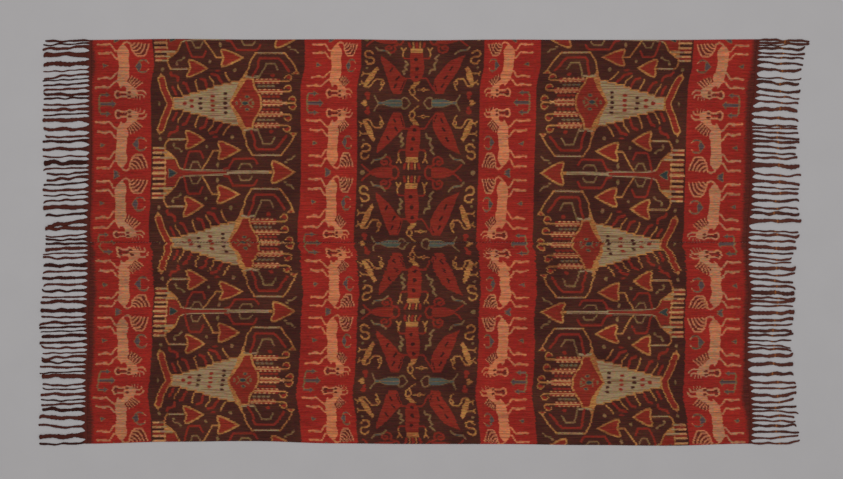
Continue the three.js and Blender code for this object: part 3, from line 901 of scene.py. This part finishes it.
def add(tree, kind, inputs=(), output=0, **settings):
    """Adds a node with its settings, links or sets its inputs, in order or by key, and gives an output.

    With None as the output it gives the node."""
    node = tree.nodes.new("ShaderNode" + kind)
    for key, value in settings.items():
        setattr(node, key, value)
    keyed = inputs if isinstance(inputs, dict) else dict(enumerate(inputs))
    for key, value in keyed.items():
        if isinstance(value, bpy.types.NodeSocket):
            tree.links.new(value, node.inputs[key])
        else:
            node.inputs[key].default_value = value
    return node if output is None else node.outputs[output]


def new_material(name, colour):
    """An empty node material with a plain colour for the solid view, and its tree."""
    material = bpy.data.materials.new(name)
    material.use_nodes = True
    material.diffuse_color = (*colour, 1.0)
    material.node_tree.nodes.clear()
    return material, material.node_tree


def surface(tree, looks):
    """Ends a material with the rough, hardly shining surface that cotton and paper share."""
    shader = add(tree, "BsdfPrincipled", {"Roughness": 0.95, "Specular IOR Level": 0.08, **looks})
    add(tree, "OutputMaterial", {"Surface": shader}, None)


def ikat_material():
    """Handspun cotton, warp faced plain weave, tied and dyed before weaving.

    The eye sees flat matt colour whose edges break up yarn by yarn along the warp, streaks where bundles
    took the dye unevenly, greyer blotches in the light motifs, olive rims on the indigo, dark red last
    rows and a fine rib. Yarns of 0.8 mm and ribs of 1.6 mm are drawn at 1.6 and 2.4 mm so that they
    show."""
    colours = dyes()
    material, tree = new_material("ikat_cotton_weave", colours.band)
    place = add(tree, "TexCoord", output="Object")
    x, y = add(tree, "SeparateXYZ", (place,), None).outputs[:2]
    offset = add(tree, "Math", (x, PATTERN_MIDDLE * MM), operation="SUBTRACT")
    away = add(tree, "Math", (offset,), operation="ABSOLUTE")
    grains = {}
    for name, (along, across, detail) in WEAVE_GRAINS.items():
        scale = (1 / (along * MM), 1 / (across * MM), 1.0)
        spread = add(tree, "Mapping", {"Vector": place, "Scale": scale})
        grains[name] = add(tree, "TexNoise", {"Vector": spread, "Scale": 1.0, "Detail": detail}, None)
    yarn, bundle, fleck, blotch, patch, tint = (grains[name].outputs[0] for name in WEAVE_GRAINS)

    spun = add(tree, "Math", (yarn, fleck), operation="ADD")
    edge = add(tree, "Math", (spun, EDGE_REACH, -EDGE_REACH), operation="MULTIPLY_ADD")
    lined = add(tree, "Math", (yarn, bundle), operation="ADD")
    streak = add(tree, "Math", (patch, 0.7, bundle), operation="MULTIPLY_ADD")
    mottle = add(tree, "Math", (blotch, patch), operation="ADD")
    worn = add(tree, "MapRange", (away, 0.35, 0.8, 0.3, 0.43), **SMOOTH)
    outer = add(tree, "Math", (blotch, worn), operation="ADD")
    faded = add(tree, "Math", (patch, 0.4, outer), operation="MULTIPLY_ADD")
    ranges = {
        "streaked": (streak, 0.62, 1.05),
        "blotched": (mottle, 0.85, 1.2),
        "faded": (faded, 0.93, 1.3),
        "lined": (lined, 0.87, 1.2),
    }
    shares = {name: add(tree, "MapRange", span, **SMOOTH) for name, span in ranges.items()}
    kinds = {"salmon": "faded", "cream": "blotched", "gold": "blotched", "olive": "blotched", "pale": "lined"}

    def lots(dye):
        """A dye's two lots, mixed by its own kind of unevenness."""
        first, second = ((*getattr(colours, name), 1.0) for name in (dye, dye + "_lot"))
        return add(tree, "Mix", {0: shares[kinds.get(dye, "streaked")], 6: first, 7: second}, **MIXED)

    layers = {}
    for number, name in enumerate(DYE_LAYERS):
        read = add(tree, "Attribute", output="Vector", attribute_name=name, attribute_type="GEOMETRY")
        parts = add(tree, "SeparateXYZ", (read,), None).outputs
        layers.update(zip(DYES[3 * number : 3 * number + 3], parts))
    grounds = {name: add(tree, "MapRange", (layers[name], *SOFT_EDGE), **SMOOTH) for name in ("band", "red")}
    rimless = add(tree, "MapRange", (layers["teal"], -0.1, -1.0), **SMOOTH)
    last_rows = add(tree, "MapRange", (away, 0.85, 0.88), **SMOOTH)
    colour = add(tree, "Mix", {0: last_rows, 6: lots("brown"), 7: (*colours.ends, 1.0)}, **MIXED)
    for dye in DYES:
        over = lots(dye)
        for ground in OVERDYED.get(dye, ()):
            overdyed = (*getattr(colours, f"{dye}_over_{ground}"), 1.0)
            over = add(tree, "Mix", {0: grounds[ground], 6: over, 7: overdyed}, **MIXED)
        if dye == "teal":
            over = add(tree, "Mix", {0: rimless, 6: lots("olive"), 7: over}, **MIXED)
        broken = add(tree, "Math", (layers[dye], edge), operation="ADD")
        mask = add(tree, "MapRange", (broken, *SOFT_EDGE), **SMOOTH)
        colour = add(tree, "Mix", {0: mask, 6: colour, 7: over}, **MIXED)

    tone = add(tree, "MapRange", (lined, 0.7, 1.3, 0.7, 1.3), **SMOOTH)
    # Painted shade: the weave's colour is darkened by up to 8% towards the left end of the cloth, on top of
    # the yarn tone.
    left_end = add(tree, "MapRange", (x, -0.98, -0.7, 0.92, 1.0), **SMOOTH)
    tone_and_painted_shade = add(tree, "Math", (tone, left_end), operation="MULTIPLY")
    colour = add(tree, "Mix", {0: 1.0, 6: colour, 7: tone_and_painted_shade}, **MULTIPLIED)
    tints = tint.node.outputs["Color"]
    centred = add(tree, "Mix", {0: 1.0, 6: tints, 7: (2.0, 2.0, 2.0, 1.0)}, **MULTIPLIED)
    colour = add(tree, "Mix", {0: 0.45, 6: colour, 7: centred}, **MULTIPLIED)
    waves = []
    for axis, spacing in ((x, RIB_DRAWN), (y, YARN_DRAWN)):
        turns = add(tree, "Math", (axis, 2 * np.pi / (spacing * MM)), operation="MULTIPLY")
        waves.append(add(tree, "Math", (turns,), operation="SINE"))
    weave = add(tree, "Math", waves, operation="MULTIPLY")
    height = add(tree, "Math", (weave, 0.4, yarn), operation="MULTIPLY_ADD")
    bump = add(tree, "Bump", {"Strength": 0.35, "Distance": 0.6 * MM, "Height": height})
    surface(tree, {"Base Color": colour, "Normal": bump})
    return material


def fringe_material(name, flecked):
    """Two-ply cotton warp ends, twisted hard and dyed dark.

    The eye sees dull red brown cords with hairs along them, lighter and darker strand by strand, and in
    the right fringe a faded tone with a golden fleck where the warp had been bound off. The hairs are
    drawn coarse, so that they show."""
    colours = dyes()
    material, tree = new_material(name, colours.fringe)
    place = add(tree, "UVMap", uv_map="yarn")
    along = add(tree, "SeparateXYZ", (place,), "Y")
    tone = add(tree, "Attribute", output="Fac", attribute_name="tone", attribute_type="GEOMETRY")
    scale = (HAIRS_AROUND, 1 / (HAIR_LENGTH * MM), 1.0)
    spread = add(tree, "Mapping", {"Vector": place, "Scale": scale})
    hairs = add(tree, "TexNoise", {"Vector": spread, "Scale": 1.0, "Detail": 3.0})
    light = add(tree, "Math", (tone, hairs), operation="ADD")
    share = add(tree, "MapRange", (light, 0.45, 1.4), **SMOOTH)
    colour = add(tree, "Mix", {0: share, 6: (*colours.fringe_lot, 1.0), 7: (*colours.fringe, 1.0)}, **MIXED)
    if flecked:
        colour = add(tree, "Mix", {0: 0.22, 6: colour, 7: (*colours.fringe_faded, 1.0)}, **MIXED)
        middle = add(tree, "Math", (tone, 0.016, 0.07), operation="MULTIPLY_ADD")
        offset = add(tree, "Math", (along, middle), operation="SUBTRACT")
        away = add(tree, "Math", (offset,), operation="ABSOLUTE")
        ragged = add(tree, "Math", (hairs, 0.008, away), operation="MULTIPLY_ADD")
        for span in ((away, 0.03, 0.004, 0.0, 0.08), (ragged, 0.0075, 0.003, 0.0, 0.75)):
            mask = add(tree, "MapRange", span, **SMOOTH)
            colour = add(tree, "Mix", {0: mask, 6: colour, 7: (*colours.fleck, 1.0)}, **MIXED)
    at_root = add(tree, "MapRange", (along, 0.01, 0.0), **SMOOTH)
    colour = add(tree, "Mix", {0: at_root, 6: colour, 7: (*colours.ends, 1.0)}, **MIXED)
    bump = add(tree, "Bump", {"Strength": 0.5, "Distance": 0.8 * MM, "Height": hairs})
    surface(tree, {"Base Color": colour, "Normal": bump})
    return material


def thread_material():
    """Handspun sewing thread, dyed dark brown: a matt line that is only a little darker than the field."""
    colours = dyes()
    material, tree = new_material("seam_thread_cotton", colours.dark)
    place = add(tree, "TexCoord", output="Object")
    grain = add(tree, "TexNoise", {"Vector": place, "Scale": 1 / (THREAD_GRAIN * MM), "Detail": 2.0})
    colour = add(tree, "Mix", {0: grain, 6: (*colours.dark_lot, 1.0), 7: (*colours.brown, 1.0)}, **MIXED)
    surface(tree, {"Base Color": colour})
    return material


def floor_material():
    """Matt studio paper: an even grey with the faintest mottle."""
    colour = bpy.context.scene.ikat_stage.floor
    material, tree = new_material("matt_studio_paper", colour)
    place = add(tree, "TexCoord", output="Object")
    mottle = add(tree, "TexNoise", {"Vector": place, "Scale": 1 / (PAPER_MOTTLE * MM), "Detail": 3.0})
    tone = add(tree, "MapRange", (mottle, 0.0, 1.0, 0.98, 1.02), **SMOOTH)
    tinted = add(tree, "Mix", {0: 1.0, 6: (*colour, 1.0), 7: tone}, **MULTIPLIED)
    surface(tree, {"Base Color": tinted})
    return material


def cloth_height(x, y):
    """Top of the laid cloth, in mm.

    It is the thickness with a slow cockle of under a millimetre, a groove at the seam and soft selvedges."""
    s = sizes()
    cockle = 0.0
    for k, (wave_x, wave_y, rise) in enumerate(COCKLE):
        turn = 2 * np.pi * scatter(k + 7)
        cockle = cockle + rise * np.sin(2 * np.pi * (x / wave_x + y / wave_y) + turn)
    groove_half, groove_depth = SEAM_GROOVE
    fallen, fall, drop = SELVEDGE_FALL
    seam = np.exp(-((y / groove_half) ** 2))
    edge = np.exp(-(((s.width / MM / 2 - fallen - np.abs(y)) / fall).clip(0) ** 2))
    return s.thickness / MM + cockle * (1 - COCKLE_HELD * edge) - groove_depth * seam - drop * edge


def build_panel(panel, material):
    """One woven panel: a grid of warp bundles (rows) by steps along the warp (columns).

    x runs between the two end lines and y between the seam and the selvedge. The top carries the dyes
    row by row, the rim drops to the floor, and the flat underside is made of strips from edge to edge."""
    s = sizes()
    rows, columns = s.rows, s.columns
    strip = s.strip / MM
    share = np.linspace(0, 1, columns + 1)
    outer = selvedge_y(panel, weave_end("left") + share * s.woven / MM)
    inner = np.full(columns + 1, seam_y(panel))
    low, high = (inner, outer) if panel == "upper" else (outer, inner)

    def place(t):
        y = low + (high - low) * t[:, None]
        left, right = end_x(panel, "left", y) + strip, end_x(panel, "right", y) - strip
        return left + (right - left) * share, y

    x, y = place(np.linspace(0, 1, rows + 1))
    top = np.stack([x, y, cloth_height(x, y)], -1).reshape(-1, 3)
    index = np.arange((rows + 1) * (columns + 1)).reshape(rows + 1, columns + 1)
    rim = np.concatenate([index[0, :-1], index[:-1, -1], index[-1, :0:-1], index[:0:-1, 0]])
    points = np.vstack([top, top[rim] * (1, 1, 0)]) * MM
    base = index.size + np.arange(len(rim))
    base_low = base[: columns + 1]
    base_high = base[columns + rows : 2 * columns + rows + 1][::-1]
    quads = np.stack([index[:-1, :-1], index[:-1, 1:], index[1:, 1:], index[1:, :-1]], -1).reshape(-1, 4)
    sides = np.stack([rim, base, np.roll(base, -1), np.roll(rim, -1)], -1)
    strips = np.stack([base_low[1:-2], base_high[1:-2], base_high[2:-1], base_low[2:-1]], -1)
    right_run = base[columns : columns + rows + 1]
    left_run = np.concatenate([base[2 * columns + rows :], base[:1]])
    right_end = np.concatenate([[base_low[-2], base_high[-2]], right_run[::-1]])[None]
    left_end = np.concatenate([[base_high[1], base_low[1]], left_run[::-1]])[None]
    faces = [quads, sides, strips, right_end, left_end]
    smooth = np.concatenate([np.full(len(f), f is quads) for f in faces])
    piece = make_piece(f"ikat_panel_{panel}", points, faces, material, smooth)

    row_x, row_y = place((np.arange(rows) + 0.5) / rows)
    dyed = dyed_pattern(panel, row_x, np.broadcast_to(row_y, row_x.shape))
    tops = np.stack([dyed[:, :-1], dyed[:, 1:], dyed[:, 1:], dyed[:, :-1]], 2).reshape(-1, len(DYES))
    row_of, column_of = np.divmod(rim, columns + 1)
    at_rim = dyed[np.minimum(row_of, rows - 1), column_of]
    plain = at_rim.copy()
    plain[:, 1:] = FAR
    lookup = np.empty(len(points), int)
    lookup[rim] = np.arange(len(rim))
    lookup[base] = np.arange(len(rim))
    under = np.concatenate([f.ravel() for f in faces[2:]])
    corners = np.vstack([tops, at_rim[lookup[sides.ravel()]], plain[lookup[under]]])
    for number, name in enumerate(DYE_LAYERS):
        set_corner_vectors(piece, name, corners[:, 3 * number : 3 * number + 3])

    flat = np.empty((len(points), 2))
    rise = np.broadcast_to(np.linspace(0, 1, rows + 1)[:, None], index.shape)
    flat[: index.size] = np.stack([np.broadcast_to(share, index.shape), rise * MAP_TOP], -1).reshape(-1, 2)
    flat[index.size :] = flat[rim] * (1, MAP_UNDER_SCALE) + (0, MAP_UNDER)
    around = np.stack([np.arange(len(rim)) / len(rim), np.full(len(rim), MAP_RIM)], -1)
    past = around + (1 / len(rim), 0)
    lift = (0, MAP_RIM_HEIGHT)
    rim_map = np.stack([around + lift, around, past, past + lift], 1).reshape(-1, 2)
    set_map(piece, "OFBake", np.vstack([flat[quads.ravel()], rim_map, flat[under]]))
    return piece


def strand_table(text):
    """Columns of a written strand table."""
    table = {}
    for word in text.split():
        if word.isalpha():
            column = table.setdefault(word, [])
        else:
            column.append(float(word))
    return {name: np.array(values) for name, values in table.items()}


def strand_rings(panel, side):
    """Rings of the twisted strands of one fringe.

    Each strand leaves the weave as a flat wedge as wide as its slice, which narrows to a neck, further out
    on the thicker strands and unevenly. From there it follows a parabola through its root, halfway and
    tip places, with a lazy wave, small kinks and on some a hooked tip. Its section is a low oval
    with two plies, radius 1 + a cos 2(turn - twist), and it lies on the floor."""
    s = sizes()
    table = strand_table(STRANDS[panel, side])
    number = STRAND_SEEDS[panel, side] + np.arange(len(table["root"]))

    def chance(lot):
        """A scattered number between 0 and 1 for each strand, as a column."""
        return scatter(number + lot)[:, None]

    root, halfway, tip = (FROM_SEAM[panel] * table[name][:, None] for name in ("root", "half", "tip"))
    corner, start = selvedge_y(panel, np.array(weave_end(side))), seam_y(panel)
    first, last = (corner, start) if panel == "upper" else (start, corner)
    limits = np.concatenate([[first], (root[1:, 0] + root[:-1, 0]) / 2, [last]])[:, None]
    share, middle = limits[:-1] - limits[1:], (limits[:-1] + limits[1:]) / 2
    root_x = end_x(panel, side, middle)
    length = s.overall / MM / 2 - table["short"][:, None] - OUTWARD[side] * root_x
    width = table["width"][:, None]
    turn = 2 * np.pi * chance(0)

    flare = FLARE_LEAST + width * (FLARE_SHARE + FLARE_SPREAD * chance(800))
    along = np.linspace(0, 1, STRAND_STATIONS) * (length + ROOT_INSET) - ROOT_INSET
    p = np.clip((along - flare) / (length - flare), 0, 1)
    wedge = np.clip((flare - along) / flare, 0, 1) ** 1.5
    knots = 1
    for k, (rise, wave) in enumerate(STRAND_KNOTS):
        knots = knots + rise * np.sin(along / wave + (k + 1) * turn)
    blunt = np.clip((length - along) / TIP_ROUND, 0, 1)
    blunt = TIP_SHARE + (1 - TIP_SHARE) * np.sqrt(1 - (1 - blunt) ** 2)
    half = (s.fullness * width / 2 * knots * (1 - wedge) + WEDGE_HALF * share * wedge) * blunt
    height = (STRAND_HEIGHT * width * knots * (1 - wedge) + s.thickness / MM * wedge) * blunt

    y = root * (1 - p) * (1 - 2 * p) + halfway * 4 * p * (1 - p) + tip * p * (2 * p - 1)
    free = np.minimum(1, 3 * p)
    lazy = LAZY_SHARE * width + LAZY_MOST * chance(900)
    y = y + free * lazy * np.sin(turn + (7 + 6 * chance(950)) * p)
    y = y + free * KINK_MOST * np.sin(along / KINK_WAVE + 5 * turn) * chance(700)
    hook = np.where(chance(500) > HOOKLESS, HOOK_MOST * (2 * chance(600) - 1), 0.0)
    y = y + hook * np.clip((along - length + HOOK_LENGTH) / HOOK_LENGTH, 0, 1) ** 2
    y = y * (1 - wedge) + middle * wedge

    phi = np.linspace(0, 2 * np.pi, STRAND_SIDES, endpoint=False)
    twist = 2 * np.pi * along / (TWIST_LAY * width) + turn
    ply = 1 + PLY_DEPTH * (1 - wedge)[..., None] * np.cos(2 * (phi - twist[..., None]))
    ring_x = np.broadcast_to((root_x + OUTWARD[side] * along)[..., None], ply.shape)
    ring_y = y[..., None] + half[..., None] * ply * np.cos(phi)
    ring_z = np.maximum(height[..., None] / 2 * (1 + ply * np.sin(phi)), 0.0)
    return np.stack([ring_x, ring_y, ring_z], -1), along, scatter(number + 400)


def strip_rings(panel, side):
    """Rings of the strip of weave that holds a fringe: a flat soft-edged section carried across the warp."""
    s = sizes()
    corner = selvedge_y(panel, np.array(weave_end(side)))
    y = np.linspace(seam_y(panel), corner, STRIP_STATIONS)
    section = np.array([(0, 0), (1, 0), (1.06, 0.5), (1, 0.86), (0.8, 1.0), (0.4, 1.0), (0.0, 1.0)])
    x = end_x(panel, side, y)[:, None] + OUTWARD[side] * (section[:, 0] - 1) * s.strip / MM
    z = np.broadcast_to(section[:, 1] * s.thickness / MM, x.shape)
    return np.stack([x, np.broadcast_to(y[:, None], x.shape), z], -1)


def build_fringe(panel, side, material):
    """One fringe: the strands and the strip they spring from, as one piece."""
    rings, along, tone = strand_rings(panel, side)
    count, stations, sides = rings.shape[:3]
    strip = strip_rings(panel, side)
    quads, caps = sweep_faces(count, stations, sides, side == "left")
    strip_quads, strip_caps = sweep_faces(1, *strip.shape[:2], (side == "left") == (panel == "upper"))
    first = count * stations * sides
    faces = [quads, caps, strip_quads + first, strip_caps + first]
    points = np.vstack([rings.reshape(-1, 3), strip.reshape(-1, 3)]) * MM
    piece = make_piece(f"twisted_fringe_{panel}_{side}", points, faces, material)
    tones = np.concatenate([np.repeat(tone, stations * sides), np.full(len(points) - first, 0.5)])
    attribute = piece.data.attributes.new("tone", "FLOAT", "POINT")
    attribute.data.foreach_set("value", tones.astype(np.float32))
    lengthwise = np.concatenate([np.repeat(along.ravel(), sides), np.zeros(len(points) - first)]) * MM
    turns = np.concatenate([np.tile(np.arange(sides) / sides, count * stations), strip[..., 1].ravel() / 10])
    corners = np.concatenate([f.ravel() for f in faces])
    places = np.stack([turns[corners], lengthwise[corners]], -1)
    ring_places = places[: quads.size].reshape(-1, 4, 2)
    wraps = np.ptp(ring_places[..., 0], axis=1) > 0.5
    ring_places[wraps, :, 0] = np.where(ring_places[wraps, :, 0] < 0.5, 1.0, ring_places[wraps, :, 0])
    set_map(piece, "yarn", places)
    return piece


def build_seam(material):
    """Slanted overcast stitches that join the panels: short arched round threads, one every 9 mm."""
    s = sizes()
    spacing, thread, span, lean = 9.0, 0.42, 2.6, 1.6
    inset, stray, uneven, sunk, arch = 6, 1.2, 0.25, 0.35, 0.55
    left = end_x("upper", "left", np.array(0.0)) + s.strip / MM + inset
    right = end_x("upper", "right", np.array(0.0)) - s.strip / MM - inset
    number = np.arange(int((right - left) // spacing))
    middle = left + (number + 0.5) * spacing + stray * (scatter(number + 5000) - 0.5)
    t = np.linspace(-1, 1, 9)
    path_y = span * (1 + uneven * (scatter(number + 5300) - 0.5))[:, None] * t
    path_x = np.broadcast_to(middle[:, None] + lean * t, path_y.shape)
    height = s.thickness / MM - sunk + arch * (1 - t**4)
    phi = np.linspace(0, 2 * np.pi, 8, endpoint=False)
    ring_x = path_x[..., None] + thread * np.cos(phi)
    ring_y = np.broadcast_to(path_y[..., None], ring_x.shape)
    ring_z = np.broadcast_to(height[None, :, None] + thread * np.sin(phi), ring_x.shape)
    rings = np.stack([ring_x, ring_y, ring_z], -1)
    quads, caps = sweep_faces(len(number), len(t), len(phi), True)
    return make_piece("seam_stitches", rings.reshape(-1, 3) * MM, [quads, caps], material)


class IKAT_OT_panels(bpy.types.Operator):
    """Weave the two dyed panels"""

    bl_idname = "ikat.panels"
    bl_label = "Woven Panels"

    def execute(self, context):
        material = ikat_material()
        for panel in PANELS:
            piece = build_panel(panel, material)
            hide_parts(f"panel_{panel}")
        return {"FINISHED"}


class IKAT_OT_fringes(bpy.types.Operator):
    """Twist the warp ends of both panels into fringes"""

    bl_idname = "ikat.fringes"
    bl_label = "Twisted Fringes"

    def execute(self, context):
        materials = {side: fringe_material(f"twisted_cotton_{side}", side == "right") for side in SIDES}
        for panel, side in STRANDS:
            piece = build_fringe(panel, side, materials[side])
            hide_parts(f"fringe_{panel}_{side}")
        return {"FINISHED"}


class IKAT_OT_seam(bpy.types.Operator):
    """Sew the panels together along the middle"""

    bl_idname = "ikat.seam"
    bl_label = "Seam Stitches"

    def execute(self, context):
        seam = build_seam(thread_material())
        objects, s = bpy.data.objects, sizes()
        for panel in PANELS:
            extras = [objects[f"twisted_fringe_{panel}_{side}"] for side in SIDES]
            extras += [seam] if panel == "upper" else []
        return {"FINISHED"}


class IKAT_OT_stage(bpy.types.Operator):
    """Lay the floor, set the soft light and hang the camera straight above"""

    bl_idname = "ikat.stage"
    bl_label = "Floor, Light and Camera"

    def execute(self, context):
        scene, stage = context.scene, context.scene.ikat_stage
        half = stage.floor_size / 2
        mesh = bpy.data.meshes.new("floor")
        corners = [(-half, -half, 0), (half, -half, 0), (half, half, 0), (-half, half, 0)]
        mesh.from_pydata(corners, [], [(0, 1, 2, 3)])
        mesh.materials.append(floor_material())
        floor = bpy.data.objects.new("floor", mesh)
        scene.collection.objects.link(floor)

        world = bpy.data.worlds.new("soft_studio")
        world.use_nodes = True
        background = world.node_tree.nodes["Background"]
        background.inputs["Color"].default_value = (1.0, 0.995, 0.99, 1.0)
        background.inputs["Strength"].default_value = stage.ambient
        scene.world = world
        lamp = bpy.data.lights.new("overhead_softbox", "AREA")
        lamp.shape, lamp.energy = "RECTANGLE", stage.lamp
        lamp.size, lamp.size_y = LAMP_SIZE
        softbox = bpy.data.objects.new("overhead_softbox", lamp)
        softbox.location = LAMP_PLACE
        softbox.rotation_euler = (np.radians(LAMP_TILT), 0.0, 0.0)
        scene.collection.objects.link(softbox)

        camera = bpy.data.cameras.new("overhead_camera")
        camera.lens, camera.sensor_width, camera.sensor_fit = stage.lens, SENSOR, "HORIZONTAL"
        camera.clip_end = 100.0
        eye = bpy.data.objects.new("overhead_camera", camera)
        eye.location = (*CAMERA_PLACE, PICTURE_WIDTH * stage.pixel * stage.lens / SENSOR)
        scene.collection.objects.link(eye)
        scene.camera = eye
        scene.view_settings.view_transform = "Standard"
        return {"FINISHED"}


class IKAT_PT_sidebar(bpy.types.Panel):
    """Sizes, colours and the steps of the mantle"""

    bl_idname = "IKAT_PT_sidebar"
    bl_label = "Ikat Mantle"
    bl_space_type = "VIEW_3D"
    bl_region_type = "UI"
    bl_category = "Ikat"

    def draw(self, context):
        layout = self.layout
        for group in (context.scene.ikat_sizes, context.scene.ikat_dyes, context.scene.ikat_stage):
            box = layout.box()
            for name in group.__annotations__:
                box.prop(group, name)
        for operator in OPERATORS:
            layout.operator(operator.bl_idname)


GROUPS = {"ikat_sizes": ClothSizes, "ikat_dyes": DyeColours, "ikat_stage": StageSettings}
OPERATORS = (IKAT_OT_panels, IKAT_OT_fringes, IKAT_OT_seam, IKAT_OT_stage)


def register():
    for cls in (*GROUPS.values(), *OPERATORS, IKAT_PT_sidebar):
        bpy.utils.register_class(cls)
    for name, group in GROUPS.items():
        setattr(bpy.types.Scene, name, bpy.props.PointerProperty(type=group))


def unregister():
    for name in GROUPS:
        delattr(bpy.types.Scene, name)
    for cls in (IKAT_PT_sidebar, *OPERATORS[::-1], *list(GROUPS.values())[::-1]):
        bpy.utils.unregister_class(cls)


def main():
    register()
    bpy.ops.ikat.stage()
    bpy.ops.ikat.panels()
    bpy.ops.ikat.fringes()
    bpy.ops.ikat.seam()


if __name__ == "__main__":
    main()
